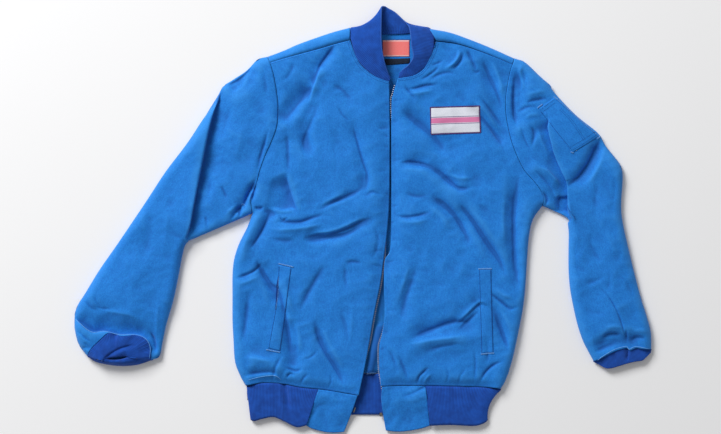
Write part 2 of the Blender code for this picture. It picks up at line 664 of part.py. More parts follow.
def make_tab(name, top, bottom, left, right, finish):
    count = 6
    columns = 8
    rows = plan_patch(along(bottom, count=columns), along(top, count=columns),
                      along(left, count=count), along(right, count=count))
    grid = []
    for i, row in enumerate(rows):
        share = i / (count - 1)
        heights = [top_height(p) - RIB_KNIT / 2 - TAB_FREE_HEIGHT for p in row]
        grid.append([Vector((*p, TAB_FREE_HEIGHT + z * share ** 2)) for p, z in zip(row, heights)])
    return wall(surface(name, grid, finish), RIB_KNIT, offset=0.0), grid


def make_tape(name, front_grid, tab_edge, finish, flip):
    """A zip tape under the edge of a front and its tab, with its teeth's edge standing out."""
    edges = [(*pair, RIB_KNIT / 2 + SEAM_GAP) for pair in tab_edge]
    edges += [(row[-1], row[-2], CLOTH + 1.5 * SEAM_GAP) for row in front_grid[1:-1]]
    rows = []
    for edge, inside, below in edges:
        inward = (inside - edge).normalized()
        rows.append([edge + inward * d - Vector((0, 0, below)) for d in TAPE_PLACES])
    return wall(surface(name, rows, finish, flip=flip), TAPE)


def make_block(name, size, place, turn, finish, bevel=0.0004):
    """A small metal fitting: a bevelled block at a place in the picture and a height."""
    bpy.ops.mesh.primitive_cube_add(size=1)
    block = bpy.context.object
    block.name = name
    for vertex in block.data.vertices:
        vertex.co = Vector((vertex.co.x * size[0], vertex.co.y * size[1], vertex.co.z * size[2]))
    block.location = (*plan(place[:2]), place[2])
    block.rotation_euler.z = math.radians(turn)
    for owner in list(block.users_collection):
        owner.objects.unlink(block)
    parts.objects.link(block)
    block.data.materials.append(finish)
    rounded = block.modifiers.new("rounded", "BEVEL")
    rounded.width = bevel
    rounded.segments = 1
    return block


def stand_at_centre():
    """Puts the middle of the whole jacket over the origin."""
    depsgraph = bpy.context.evaluated_depsgraph_get()
    corners = []
    for item in parts.objects:
        shown = item.evaluated_get(depsgraph)
        corners += [item.matrix_world @ v.co for v in shown.data.vertices]
    x = (min(p.x for p in corners) + max(p.x for p in corners)) / 2
    y = (min(p.y for p in corners) + max(p.y for p in corners)) / 2
    for item in parts.objects:
        item.location.x -= x
        item.location.y -= y


# ---------------------------------------------------------------- the jacket
for old in list(bpy.data.objects):
    bpy.data.objects.remove(old)
parts = bpy.data.collections.new(PARTS)
bpy.context.scene.collection.children.link(parts)

twill = material("azure_twill", (0.016, 0.188, 0.571), 0.85)
knit = material("royal_rib_knit", (0.020, 0.067, 0.350), 0.92)
tape_cloth = material("navy_zip_tape", (0.018, 0.050, 0.160), 0.9)
brass = material("dull_brass", (0.30, 0.24, 0.17), 0.4, 1.0)
label_cloth = material("salmon_label", (0.90, 0.18, 0.16), 0.7)
strip_cloth = material("black_strip", (0.02, 0.02, 0.025), 0.8)
patch_cloth = material("pale_patch", (0.55, 0.62, 0.75), 0.8)

back = make_back(twill)
right_front = front_rows(RIGHT_SIDE, RIGHT_WAIST, RIGHT_HOLE, RIGHT_ZIP, RIGHT_SHOULDER_SEAM, RIGHT_NECK)
left_front = front_rows(LEFT_SIDE, LEFT_WAIST, LEFT_HOLE, LEFT_ZIP, LEFT_SHOULDER_SEAM, LEFT_NECK)
right_front = moved(right_front, SEAM_GAP, -SEAM_GAP / 2)
left_front = moved(left_front, -SEAM_GAP, -SEAM_GAP / 2)
front_right = wall(surface("front_right", right_front, twill), CLOTH)
front_left = wall(surface("front_left", left_front, twill, flip=True), CLOTH)

right_sleeve = sleeve_rings(RIGHT_ARM_OUTER, RIGHT_ARM_INNER, RIGHT_HOLE, RIGHT_BACK_HOLE,
                            RIGHT_CUFF_SEAM, RIGHT_CUFF_UNDER)
left_sleeve = sleeve_rings(LEFT_ARM_OUTER, LEFT_ARM_INNER, LEFT_HOLE, LEFT_BACK_HOLE,
                           LEFT_CUFF_SEAM, LEFT_CUFF_UNDER)
sleeve_right = wall(surface("sleeve_right", moved(right_sleeve, -SEAM_GAP), twill, True, True), CLOTH)
sleeve_left = wall(surface("sleeve_left", moved(left_sleeve, SEAM_GAP), twill, True, False), CLOTH)

make_band("collar", band_rows(COLLAR, 4), knit, flip=True)
make_band("waist_rib", band_rows(WAIST_RIB, 2), knit)
make_band("cuff_right", right_cuff_rows(), knit, flip=True, ring=True)
make_band("cuff_left", left_cuff_rows(), knit, flip=False, ring=True)

tab_right, right_tab = make_tab(
    "tab_right",
    [(318.5, 388.9), (330, 390.4), (345, 392.9), (357.7, 394.9)],
    [(306.8, 424.2), (312, 427.5), (326, 431.5), (340, 431.5), (345.5, 428.5)],
    [(306.8, 424.2), (313.5, 404), (318.5, 388.9)],
    [(345.5, 428.5), (352.5, 411), (357.7, 394.9)], twill)
tab_left, left_tab = make_tab(
    "tab_left",
    [(382, 386), (400, 385.6), (425.2, 385.5)],
    [(386, 428), (400, 430.5), (418, 428.2), (429.2, 424.6)],
    [(386, 428), (382, 415), (380.6, 400), (382, 386)],
    [(429.2, 424.6), (427.4, 404), (425.2, 385.5)], twill)

right_edge = [(row[-1], row[-2]) for row in right_tab[2:]]
left_edge = [(row[0], row[1]) for row in left_tab[2:]]
make_tape("zip_tape_right", right_front, right_edge, tape_cloth, flip=False)
make_tape("zip_tape_left", left_front, left_edge, tape_cloth, flip=True)
make_block("zip_pin", (0.0022, 0.0100, 0.0022), (354.5, 409.5, 0.0067), -20, brass)
make_block("zip_box", (0.0050, 0.0070, 0.0030), (380.9, 414.2, 0.0067), 3, brass)
make_block("zip_slider", (0.0080, 0.0110, 0.0030), (384.2, 405, 0.0043), 0, brass)

make_laid("welt_right", lying_rows([(278.5, 265), (292, 268), (281, 351), (267.8, 348.5)], 3, 12),
          front_right, CLOTH, twill)
make_laid("welt_left", lying_rows([(478.5, 269), (490.5, 269), (492.8, 352), (481, 353)], 3, 12),
          front_left, CLOTH, twill)
make_laid("sleeve_pocket", lying_rows([(538, 109), (554, 97.5), (598, 137), (571, 153.5)], 8, 12),
          sleeve_left, CLOTH, twill, lift=2 * LAID_LIFT)
make_laid("chest_patch", lying_rows([(430, 108), (479, 106.5), (480, 133), (431, 134.5)], 6, 4),
          front_left, LABEL, patch_cloth)
make_laid("neck_facing", lying_rows([(362, 37.2), (418, 37.2), (418, 41.8), (362, 41.8)], 4, 1),
          back, CLOTH, twill, lift=SEAM_GAP)
make_laid("neck_label", lying_rows([(383, 42.6), (409, 42.6), (409, 60), (383, 60)], 3, 2),
          back, LABEL, label_cloth, lift=SEAM_GAP)
make_laid("size_strip", lying_rows([(386, 61.4), (408, 61.4), (406, 67), (388, 67)], 2, 1),
          back, LABEL, strip_cloth, lift=SEAM_GAP)

stand_at_centre()
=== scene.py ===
import math
import bpy
import numpy as np
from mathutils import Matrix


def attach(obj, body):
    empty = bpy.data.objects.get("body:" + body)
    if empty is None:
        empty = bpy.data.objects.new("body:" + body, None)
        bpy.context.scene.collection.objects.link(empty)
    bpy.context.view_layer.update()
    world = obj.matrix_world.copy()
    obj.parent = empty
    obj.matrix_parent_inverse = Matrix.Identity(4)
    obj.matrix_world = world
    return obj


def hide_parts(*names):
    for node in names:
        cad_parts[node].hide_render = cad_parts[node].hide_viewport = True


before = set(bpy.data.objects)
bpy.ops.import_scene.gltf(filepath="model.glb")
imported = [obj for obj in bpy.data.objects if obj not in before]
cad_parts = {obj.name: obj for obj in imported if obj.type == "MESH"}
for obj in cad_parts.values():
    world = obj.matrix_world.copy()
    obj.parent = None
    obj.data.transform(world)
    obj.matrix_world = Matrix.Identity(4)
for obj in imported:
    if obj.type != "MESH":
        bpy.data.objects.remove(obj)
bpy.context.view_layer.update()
bpy.ops.object.select_all(action="DESELECT")
print("frame loaded")

# left and right are the wearer's, so the wearer's right is on the picture's left
picture = {"pixel": 0.0019, "middle": (363.082, 219.911)}  # metres a pixel, and the pixel over the origin
cloth = {
    "wall": 0.0012,  # thickness of the twill
    "knit": 0.0024,  # and of the doubled rib
    "gap": 0.0004,  # between two pieces
    "lie": 0.0160,  # top of the upper layer over the floor
    "lowest": 0.0035,  # and the lowest it sinks in a fold
    "turn": 0.0055,  # height of the outermost line of a rolled edge
    "roll": 0.0160,  # how far in from the outline it goes on
    "insets": [0, 0.0006, 0.0014, 0.0026, 0.0042, 0.0062, 0.0085],  # columns of a net from its rolled edge
    "overShoulder": 0.0128,  # how far the back wraps over a shoulder
}
folding = {  # gains on the heights below, the share of a fold's length over which its ends fade, and
    # how far it reaches in metres for each mm of its width
    "foldGain": 1.6, "foldTaper": 0.3, "foldEnd": 0.25, "foldReach": 0.003,
    "creaseGain": 2.3, "creaseWidth": 0.85, "creaseTaper": 0.38, "creaseReach": 0.0032, "blunt": 0.07,
    "power": 1.35, "steepest": (1.2, 0.06),  # mm of height for each mm of the narrow and the wide side
    "overlapTaper": 0.3, "overlapReach": 0.12, "lip": 0.0028, "lipPerHang": 0.0001, "inPerHang": 0.0005,
    "decayPerHang": 0.0013}
tuckForm = {"reach": (9, 5), "slope": 2.5, "depth": (0.75, 0.35), "widths": (3.0, 3.5)}  # beside the zip

# outlines in pixels of the picture, y down
rightArmOuter = [
    (268, 57), (258, 60), (247, 71), (235, 79), (223, 87), (218, 95), (210, 108), (190, 140), (166, 172),
    (145, 204), (118, 244), (100, 270), (86, 293), (78, 306), (75, 318), (76, 332), (80, 345), (88, 356)]
rightArmInner = [
    (252.5, 213.5), (240, 219), (225, 225.6), (210, 232), (197, 237.6), (188.5, 241.4), (185.4, 246),
    (182.6, 257), (179, 276), (174, 300), (167, 324), (163, 343), (160, 356), (152, 359.7)]
rightSide = [
    (245.5, 385), (240, 375), (235, 361), (233.5, 340), (232.5, 320), (232.5, 296), (232.5, 276),
    (234, 260), (239, 244), (247, 228), (252.5, 213.5)]
leftArmOuter = [
    (513.5, 58.5), (525, 63), (540, 77), (549, 85), (554, 93), (575, 115), (597, 133), (605, 146),
    (617, 161), (621, 169), (622, 180), (620.5, 205), (622, 222), (627, 245), (633, 270), (640, 297),
    (646, 316), (650, 332), (650.5, 349)]
leftArmInner = [
    (542, 206), (549, 209), (560, 214), (567, 218.5), (568.5, 224), (568, 245), (568, 270), (569.5, 289),
    (573, 308), (577, 325), (582, 340), (587, 350), (593, 361)]
leftSide = [
    (501, 388), (505.5, 380), (511, 364), (515, 348), (520, 324), (523.5, 304), (525.5, 284), (527, 260),
    (529, 236), (533, 219), (542, 206)]
rightShoulder = [(350, 28), (330, 33.5), (300, 44), (284, 51), (268, 57)]
leftShoulder = [(429, 29), (450, 33), (470, 40), (490, 48), (513.5, 58.5)]
rightHole = [
    (268, 57), (269.5, 61), (272, 68), (275, 80), (278, 100), (278.5, 115), (277, 128), (272, 142),
    (266, 155), (260.5, 170), (258.5, 178), (255, 189), (251.5, 200), (252.5, 213.5)]
rightBackHole = [(252.5, 213.5), (261, 190), (269, 160), (273, 130), (274, 100), (271, 74), (268, 57)]
leftHole = [
    (513.5, 58.5), (512.8, 62.5), (510, 70), (507, 85), (505, 100), (505.5, 115), (508, 130), (512, 145),
    (518, 160), (524, 171), (532, 180), (539, 189), (543, 198), (542, 206)]
leftBackHole = [
    (542, 206), (530, 185), (518, 158), (512, 130), (510, 100), (511, 76), (513.5, 58.5)]
rightCuffSeam = [
    (88, 356), (92, 349), (97, 343.6), (107.4, 335), (116, 334), (121, 337), (129, 337), (137, 336),
    (146, 339.5), (151, 347.5), (152, 359.7)]
rightCuffUnder = [(88, 356), (96, 361.3), (110, 364.5), (125, 365.5), (139, 364), (152, 359.7)]
leftCuffSeam = [
    (650.5, 349), (641, 348.5), (635, 347.5), (629, 350), (625, 347.5), (614, 350.5), (602, 356.5),
    (593, 361)]
leftCuffUnder = [(650.5, 349), (635, 352), (620, 354), (606, 358), (593, 361)]
rightShoulderSeam = [(270.7, 63.5), (285, 59), (300, 55), (318, 50), (335, 45), (350, 41)]
rightNeck = [(350, 41), (353, 50), (357, 59.5), (363, 68), (375, 77), (389, 82)]
leftShoulderSeam = [(512.4, 64), (490, 55), (470, 48), (455, 44), (436, 42)]
leftNeck = [(436, 42), (433.5, 50), (430, 58), (424, 69), (414, 76), (398, 79)]
rightWaist = [
    (245.5, 385), (264, 382), (284, 383.5), (300, 386.5), (320, 388.5), (340, 391.5), (358.5, 394.5)]
leftWaist = [(501, 388), (486, 386.5), (460, 385.7), (425, 385), (400, 385), (381, 385.5)]
rightZip = [
    (358.5, 394.5), (364.2, 368), (369.3, 341), (373.8, 314), (380, 284), (384, 255), (387, 230),
    (389, 200), (389.5, 140), (389, 82)]
leftZip = [
    (381, 385.5), (379.5, 365), (379.5, 345), (382, 334), (384.5, 318), (384.5, 300), (384, 280),
    (385, 260), (390.5, 247), (391.5, 200), (391.5, 110), (393.5, 94), (398, 79)]
backWaist = [(240.5, 374), (300, 373.5), (372, 373), (440, 374), (508, 374.5)]
backNeck = [(350, 28), (353, 32.5), (362, 35), (389, 36), (416, 35), (426, 33), (429, 29)]

# the main folds, as in the solids: path, width in mm, rise in mm (a trough is below nothing)
mainFolds = [
    ([(335, 46), (320, 66), (314, 88)], 12, -3.5), ([(312, 86), (296, 100), (279, 124)], 15, -5.0),
    ([(322, 66), (310, 106)], 11, 3.0), ([(318, 84), (305, 128), (310, 158)], 12, -3.0),
    ([(268, 190), (293, 196)], 22, -1.6), ([(351, 119), (362, 160), (365, 198)], 11, -2.2),
    ([(300, 238), (336, 231), (376, 217)], 12, -3.0), ([(274, 206), (264, 228), (251, 250)], 11, -2.6),
    ([(262, 208), (248, 240), (240, 262)], 12, 2.0), ([(248, 288), (242, 345)], 14, -2.0),
    ([(262, 262), (272, 284), (277, 305)], 13, -3.0), ([(289, 318), (293, 350), (292, 370)], 14, -4.0),
    ([(316, 325), (320, 348), (343, 386)], 13, -3.0), ([(246, 362), (266, 364), (284, 372)], 17, 4.0),
    ([(404, 108), (425, 128), (447, 157)], 18, -4.0), ([(398, 163), (430, 165), (457, 188)], 14, -3.5),
    ([(478, 60), (490, 90), (508, 150)], 13, -4.0), ([(467, 105), (487, 122), (503, 145)], 12, -2.5),
    ([(515, 176), (512, 214), (514, 262), (519, 300)], 14, -4.5),
    ([(430, 196), (456, 218), (470, 246)], 13, -3.0), ([(458, 204), (488, 245), (505, 276)], 13, -3.5),
    ([(467, 312), (480, 302), (496, 314), (506, 348)], 12, -3.0),
    ([(410, 337), (440, 327), (478, 326)], 15, -2.6), ([(410, 347), (440, 340), (474, 340)], 12, 2.5),
    ([(417, 262), (402, 310), (400, 330)], 13, -2.0), ([(256, 66), (243, 82), (228, 92)], 14, -4.0),
    ([(236, 214), (248, 196), (256, 182)], 10, -3.0), ([(95, 326), (120, 325), (147, 333)], 16, -2.0),
    ([(520, 70), (517, 96), (514, 128)], 13, -4.0), ([(600, 138), (590, 164), (573, 188)], 14, -6.0),
    ([(526, 165), (548, 174), (560, 186)], 12, 2.0), ([(561, 196), (562, 212)], 12, -4.0),
    ([(592, 346), (612, 341), (640, 339)], 14, -4.5), (rightZip, 18, -2.0), (leftZip, 18, -2.0),
    (rightWaist, 12, -4.0), (leftWaist, 12, -4.0), (rightHole, 7, -0.8), (leftHole, 7, -0.8)]
# one side of a fold lies over the other: path, width and rise on its left, width and fall on its right,
# and how far the upper side hangs over, all in mm, and the share of all that is left at its ends
overlaps = [
    ([(189, 238), (197, 195), (204, 160), (212, 122), (219, 100), (224, 88)], 40, 9.0, 26, 8.0, 7.0, 0.3),
    ([(545.5, 119), (552.7, 149.7), (561.2, 170.8), (567.2, 185.6), (567.5, 219)],
     22, 3.0, 26, 8.0, 12.0, 0.3),
    ([(152, 358), (151, 345), (146, 337.5), (136, 334), (121, 334), (106, 330.6), (94, 331.6), (84, 325),
      (76.5, 317)], 30, 3.0, 20, 7.5, 5.0, 0.3),
    ([(286, 172), (289, 185), (293, 198), (298, 214)], 16, 0.8, 34, 8.0, 2.5, 0.0),
    ([(262, 256), (265, 271), (272, 283), (281, 290), (285, 307), (288, 322), (291, 341), (291, 364)],
     14, 0.8, 13, 5.5, 1.5, 0.0),
    ([(346, 390), (334, 369), (323, 351), (316, 335), (313, 316)], 16, 2.0, 18, 4.0, 2.0, 0.0)]
swells = [  # centre, radius in mm, rise in mm
    ((150, 240), 75, 3.0), ((118, 296), 60, 9.0), ((600, 250), 80, 3.0), ((612, 318), 50, 6.0),
    ((246, 110), 60, 3.0), ((545, 140), 60, 3.0)]

# what the photo shows on top of them: path, rise in mm, width on the left and right of the path in mm,
# and for some how far in mm the top of the fold leans to the left of its path
# the wearer's right front
rightFrontCreases = [
    ([(337, 43), (329, 53), (320, 66), (316, 80)], -2.0, 7, 3),
    ([(324, 60), (318, 78), (313, 92), (308, 108)], 2.0, 10, 3.5, -1.5),
    ([(316, 82), (305, 96), (292, 112), (280, 126)], -1.4, 12, 9),
    ([(321, 98), (312, 120), (304, 142), (304, 162)], -1.4, 12, 6),
    ([(286, 126), (288, 150), (288, 178)], -1.1, 5, 7),
    ([(258, 209), (272, 213), (286, 214), (302, 212)], -1.6, 28, 8),
    ([(254.5, 206), (259, 208.5), (264, 206)], -3.4, 4, 4.5),
    ([(266, 207), (281, 211), (299, 209)], 2.2, 5, 14), ([(337, 104), (343, 116), (351, 122)], -0.8, 4, 4),
    ([(351, 119), (355, 135), (363, 163), (367, 176), (365, 198)], -1.3, 4, 3),
    ([(316, 211), (331, 204), (345, 198), (357, 192), (364, 184)], -2.0, 9, 3.5, 0.8),
    ([(318, 206), (333, 199), (347, 193)], 0.9, 8, 5), ([(364, 197), (372, 192), (383, 196)], -0.9, 3, 3),
    ([(270, 221), (285, 222), (300, 222), (315, 217), (326, 214)], -2.2, 5, 4),
    ([(268, 229), (290, 229), (312, 226), (328, 222)], 1.6, 5, 10),
    ([(278, 214), (283, 220), (289, 216)], -1.2, 3, 3),
    ([(298, 238), (315, 233), (331, 231), (345, 226), (360, 219), (377, 215)], 2.4, 9, 4, -0.8),
    ([(302, 242), (322, 238), (345, 234), (364, 224)], -2.0, 4, 10),
    ([(268, 238), (285, 240), (300, 240)], -0.9, 5, 8),
    ([(272, 208), (266, 223), (258, 238), (249, 251)], -1.8, 3, 4.5),
    ([(256, 214), (248, 234), (241, 256)], 1.1, 6, 5),
    ([(233, 279), (245, 275), (255, 270), (263, 261)], -1.8, 3.5, 4),
    ([(236, 285), (250, 280), (262, 274)], 0.9, 4, 7), ([(249, 288), (246, 318), (242, 346)], -1.3, 7, 6),
    ([(256, 258), (262, 272), (270, 284)], -1.6, 4, 6), ([(284, 276), (288, 296), (294, 316)], 0.9, 6, 6),
    ([(296, 318), (299, 340), (298, 358)], 1.0, 9, 6),
    ([(326, 260), (315, 280), (305, 298), (299, 314)], -1.5, 10, 7),
    ([(343, 263), (352, 261), (364, 263)], -1.1, 3, 6), ([(346, 262), (345, 275), (347, 290)], -0.7, 4, 5),
    ([(318, 318), (330, 345), (345, 372)], 1.2, 10, 8),
    ([(302, 359), (311, 356), (318, 349)], -0.8, 2.5, 3),
    ([(285, 367), (291, 369), (298, 370), (302, 366)], -3.2, 3, 3),
    ([(286, 378), (290, 373), (296, 375)], -1.6, 3, 3),
    ([(241, 359), (252, 357), (264, 359), (276, 361)], 1.4, 6, 8),
    ([(239, 377), (252, 373.5), (264, 372), (275, 372.5), (285, 380)], -4.4, 16, 3.5),
    ([(272, 383), (276, 366), (283, 352)], -1.2, 5, 4), ([(300, 385), (303, 378), (309, 372)], -0.8, 3, 3),
    ([(328, 388), (331, 380), (329, 372)], -0.7, 3, 3), ([(340, 300), (346, 330), (352, 352)], -0.7, 9, 9),
    ([(352, 300), (351, 330), (347, 350)], 0.6, 7, 7), ([(330, 84), (344, 92), (352, 104)], -0.8, 7, 7),
    ([(294, 60), (290, 74), (280, 84)], -0.9, 7, 7), ([(372, 222), (378, 240), (372, 262)], -1.0, 5, 6),
    ([(330, 140), (336, 160), (334, 182)], -0.5, 10, 10)]
# the wearer's left front
leftFrontCreases = [
    ([(405, 90), (414, 89), (427, 86), (440, 85)], -1.9, 3.5, 3),
    ([(405, 95), (420, 93), (437, 90)], 1.1, 4, 7), ([(403, 84), (409, 92), (418, 101)], -1.2, 4, 4),
    ([(418, 81), (427, 77), (436, 70), (440, 62)], -1.1, 3, 3),
    ([(428, 82), (436, 76), (447, 73), (457, 75)], -1.1, 3, 4),
    ([(430, 66), (437, 64), (444, 60)], -0.9, 3, 3),
    ([(443, 70), (452, 65), (458, 57), (459, 48)], 2.0, 4, 5),
    ([(452, 70), (460, 62), (463, 52)], -1.6, 3, 4), ([(465, 48), (471, 60), (477, 74)], -1.9, 7, 5),
    ([(472, 70), (476, 73), (480, 70)], -0.9, 3, 3),
    ([(480, 56), (488, 74), (497, 94), (504, 120)], -2.0, 8, 7),
    ([(490, 58), (498, 76), (503, 96)], 1.1, 5, 6), ([(477, 94), (490, 110), (504, 129)], -1.6, 5, 6),
    ([(466, 104), (480, 117), (493, 132), (507, 154)], -2.0, 6, 5),
    ([(472, 100), (486, 113), (500, 132)], 0.9, 5, 5),
    ([(400, 106), (411, 118), (425, 129), (438, 142), (449, 158)], -1.6, 11, 9),
    ([(396, 164), (410, 162), (425, 165), (436, 169)], -1.8, 4, 5),
    ([(398, 169), (414, 169), (430, 173)], 0.9, 5, 8),
    ([(428, 166), (440, 174), (449, 182), (460, 189), (476, 186)], -2.8, 7, 6, 0.6),
    ([(444, 172), (458, 178), (474, 178)], 1.3, 7, 7),
    ([(392, 214), (405, 217), (420, 215), (434, 210)], -1.7, 4, 4),
    ([(396, 221), (414, 222), (432, 218)], 0.9, 4, 8), ([(402, 192), (416, 196), (430, 194)], -0.8, 6, 7),
    ([(429, 194), (441, 203), (453, 214), (463, 230), (471, 247)], -2.0, 9, 5),
    ([(424, 202), (440, 214), (452, 232)], 0.9, 8, 9),
    ([(454, 198), (470, 217), (485, 240), (498, 258), (508, 282)], -2.1, 7, 6),
    ([(466, 204), (482, 224), (497, 246)], 1.1, 8, 7),
    ([(519, 170), (516, 190), (514, 214), (514, 240), (515, 266), (519, 297)], -1.9, 5, 6),
    ([(505, 190), (503, 220), (505, 250)], 0.9, 7, 9),
    ([(486, 288), (494, 296), (503, 303), (510, 308), (520, 306)], -2.2, 3.5, 4),
    ([(492, 286), (502, 294), (514, 298)], 1.1, 5, 5),
    ([(452, 326), (465, 314), (473, 306), (480, 301), (488, 305), (495, 314)], 2.2, 8, 3, -0.8),
    ([(458, 330), (470, 318), (480, 309)], -1.4, 4, 7),
    ([(493, 311), (499, 324), (505, 340), (509, 354)], -1.9, 4, 6),
    ([(498, 306), (506, 320), (512, 334)], 0.9, 5, 6),
    ([(405, 339), (420, 334), (435, 328), (448, 323), (462, 321), (480, 325)], -2.0, 8, 5),
    ([(404, 345), (428, 340), (450, 337), (474, 334)], 1.7, 5, 8, 0.5),
    ([(424, 350), (444, 345), (464, 342)], -0.9, 4, 5),
    ([(418, 260), (412, 280), (405, 300), (400, 326)], -0.9, 8, 8),
    ([(410, 262), (403, 284), (397, 304)], 0.8, 7, 7),
    ([(417, 385), (419, 376), (425, 370), (429, 365)], -2.0, 3, 3),
    ([(424, 385), (426, 378), (432, 372)], 1.0, 3, 4), ([(396, 350), (403, 366), (409, 384)], -1.4, 8, 6),
    ([(388, 346), (394, 360), (398, 376)], -0.9, 6, 6),
    ([(479, 384), (485, 372), (494, 364), (504, 360)], -1.8, 4, 3),
    ([(474, 346), (475, 364), (474, 384)], -0.9, 3, 3), ([(446, 384), (448, 374), (445, 366)], -0.7, 3, 3),
    ([(486, 334), (488, 350), (486, 366)], -0.9, 4, 6), ([(458, 384), (461, 374), (466, 366)], -0.6, 3, 3),
    ([(440, 118), (450, 140), (454, 158)], -0.5, 10, 10)]
# the wearer's right sleeve
rightSleeveCreases = [
    ([(257, 61), (249, 71), (240, 80), (225, 88)], -2.4, 4, 6),
    ([(252, 74), (243, 87), (232, 96)], 1.0, 7, 7), ([(264, 66), (266, 82), (268, 100)], -0.9, 5, 8),
    ([(270, 126), (266, 142), (261, 158), (257, 176)], -1.9, 2.5, 5),
    ([(258, 177), (252, 188), (247, 199), (245, 207), (249, 213)], -3.6, 4.5, 4.5),
    ([(258, 184), (254, 193), (252, 203)], -3.0, 3.5, 3.5),
    ([(255, 187), (250, 199), (249, 207)], 2.2, 4, 4),
    ([(230, 222), (236, 213), (243, 205), (246, 203)], -3.2, 4, 4),
    ([(225, 216), (233, 209), (240, 203)], 1.0, 4, 4), ([(221, 184), (225, 192), (228, 200)], -0.9, 4, 4),
    ([(206, 214), (207, 222), (209, 232)], -0.6, 4, 3),
    ([(243, 205), (240.5, 211), (240.5, 219)], -4.0, 4, 4),
    ([(77, 327), (84, 334.5), (94, 342.5)], -1.6, 2.5, 2.5),
    ([(212, 180), (209, 195), (210, 208)], -0.7, 7, 7), ([(232, 104), (226, 124), (220, 144)], -0.7, 9, 12),
    ([(244, 120), (240, 146), (232, 168)], 0.6, 12, 12),
    ([(96, 308), (112, 311), (130, 314), (146, 321)], 0.9, 9, 7),
    ([(94, 304), (104, 308), (116, 308)], -0.7, 5, 6), ([(86, 296), (92, 306), (104, 312)], -0.8, 5, 6),
    ([(80, 352), (86, 347), (92, 350)], -1.1, 2.5, 2.5), ([(84, 340), (90, 346), (95, 348)], -0.8, 3, 3),
    ([(97, 292), (98, 300), (104, 308)], -0.7, 5, 5), ([(152, 210), (150, 235), (144, 262)], -0.6, 12, 14),
    ([(170, 200), (168, 230), (162, 262)], 0.6, 12, 12),
    ([(132, 262), (128, 284), (122, 300)], -0.5, 12, 12),
    ([(150, 330), (155, 340), (157, 354)], -2.4, 4, 4), ([(160, 300), (158, 320), (158, 340)], 0.7, 6, 6)]
# the wearer's left sleeve
leftSleeveCreases = [
    ([(523, 62), (519, 72), (522, 86), (518, 94)], 1.6, 5, 4),
    ([(515, 72), (513, 92), (513, 110), (516, 132)], -2.3, 5, 3.5),
    ([(522, 105), (532, 101), (549, 98)], -1.9, 3, 3), ([(524, 96), (536, 93), (546, 92)], 1.0, 4, 4),
    ([(516, 113), (527, 107), (538, 108)], -1.4, 3, 3.5), ([(522, 120), (531, 115), (541, 117)], 1.0, 4, 4),
    ([(526, 124), (533, 132), (532, 142), (528, 150)], -1.5, 5, 5),
    ([(519, 124), (524, 140), (532, 156)], -0.9, 5, 5), ([(536, 126), (541, 142), (549, 158)], 0.9, 6, 6),
    ([(600, 137), (595, 149), (588, 163), (580, 175), (570, 190)], -2.6, 6, 4),
    ([(604, 146), (600, 160), (592, 176), (583, 188)], 1.3, 7, 6),
    ([(567, 193), (566, 203), (567, 217)], -1.6, 3, 4), ([(572, 196), (574, 210), (573, 226)], 1.0, 5, 4),
    ([(535, 166), (545, 170), (553, 178), (563, 188)], 1.6, 4, 5),
    ([(530, 170), (540, 176), (550, 188), (556, 200)], -1.4, 5, 5),
    ([(541, 191), (546, 199), (545, 207)], -3.4, 4, 3.5),
    ([(543, 208), (552, 210), (566, 213)], -1.5, 3, 2.5),
    ([(558, 194), (561, 204), (562, 213)], -1.8, 4, 4), ([(582, 283), (592, 281), (604, 276)], -0.7, 6, 7),
    ([(597, 286), (605, 294), (613, 306), (619, 320), (624, 336), (627, 347)], -1.1, 3, 2),
    ([(607, 268), (608, 280), (604, 292)], -0.3, 4, 4), ([(586, 232), (592, 250), (604, 268)], -0.8, 10, 8),
    ([(600, 228), (610, 244), (618, 262)], 0.7, 12, 10), ([(622, 276), (628, 288), (634, 300)], -0.4, 6, 6),
    ([(598, 340), (606, 334), (615, 333), (623, 335)], -2.4, 4, 7),
    ([(592, 352), (604, 347), (616, 342)], -1.2, 4, 4), ([(602, 328), (612, 326), (622, 328)], 1.1, 6, 5),
    ([(629, 342), (635, 337), (646, 338)], -1.8, 4, 4),
    ([(624, 328), (625, 334), (626, 340)], -1.8, 2.5, 2.5),
    ([(630, 331), (640, 330), (648, 333)], 0.9, 4, 4), ([(575, 236), (574, 256), (578, 280)], -0.7, 8, 8),
    ([(581, 306), (592, 312), (604, 312)], -0.6, 8, 8), ([(612, 168), (614, 190), (610, 214)], -0.6, 8, 10),
    ([(598, 176), (594, 200), (596, 222)], -0.7, 9, 9)]
# short tucks that the zip's tape pulls into the fronts' edges: the height in the picture
rightZipTucks = [104, 128, 137, 147, 170, 194, 235, 250, 258, 266, 282, 296, 318, 340, 362]
leftZipTucks = [100, 121, 146, 160, 182, 206, 213, 222, 239, 262, 288, 309, 331, 349, 368]


def place(points):  # picture pixels to metres
    points = np.asarray(points, float)
    x = (points[..., 0] - picture["middle"][0]) * picture["pixel"]
    y = (picture["middle"][1] - points[..., 1]) * picture["pixel"]
    return np.stack((x, y), axis=-1)


def runOf(line):  # how far along a line each of its points is
    return np.concatenate(([0.0], np.cumsum(np.linalg.norm(np.diff(line, axis=0), axis=1))))


def lengthOf(points):
    return runOf(place(points))[-1]


def curve(a, b, c, d, t):  # from b to c as t goes from 0 to 1
    square, cube = 2 * a - 5 * b + 4 * c - d, 3 * b - a - 3 * c + d
    return 0.5 * (2 * b + (c - a) * t + square * t ** 2 + cube * t ** 3)


def spline(where, values):  # a smooth curve or net through the points or rows at 0, 1, 2 and on
    values = np.concatenate((2 * values[:1] - values[1:2], values, 2 * values[-1:] - values[-2:-1]))
    k = np.clip(where.astype(int), 0, len(values) - 4)
    t = (where - k).reshape(-1, *[1] * (values.ndim - 1))
    return curve(values[k], values[k + 1], values[k + 2], values[k + 3], t)


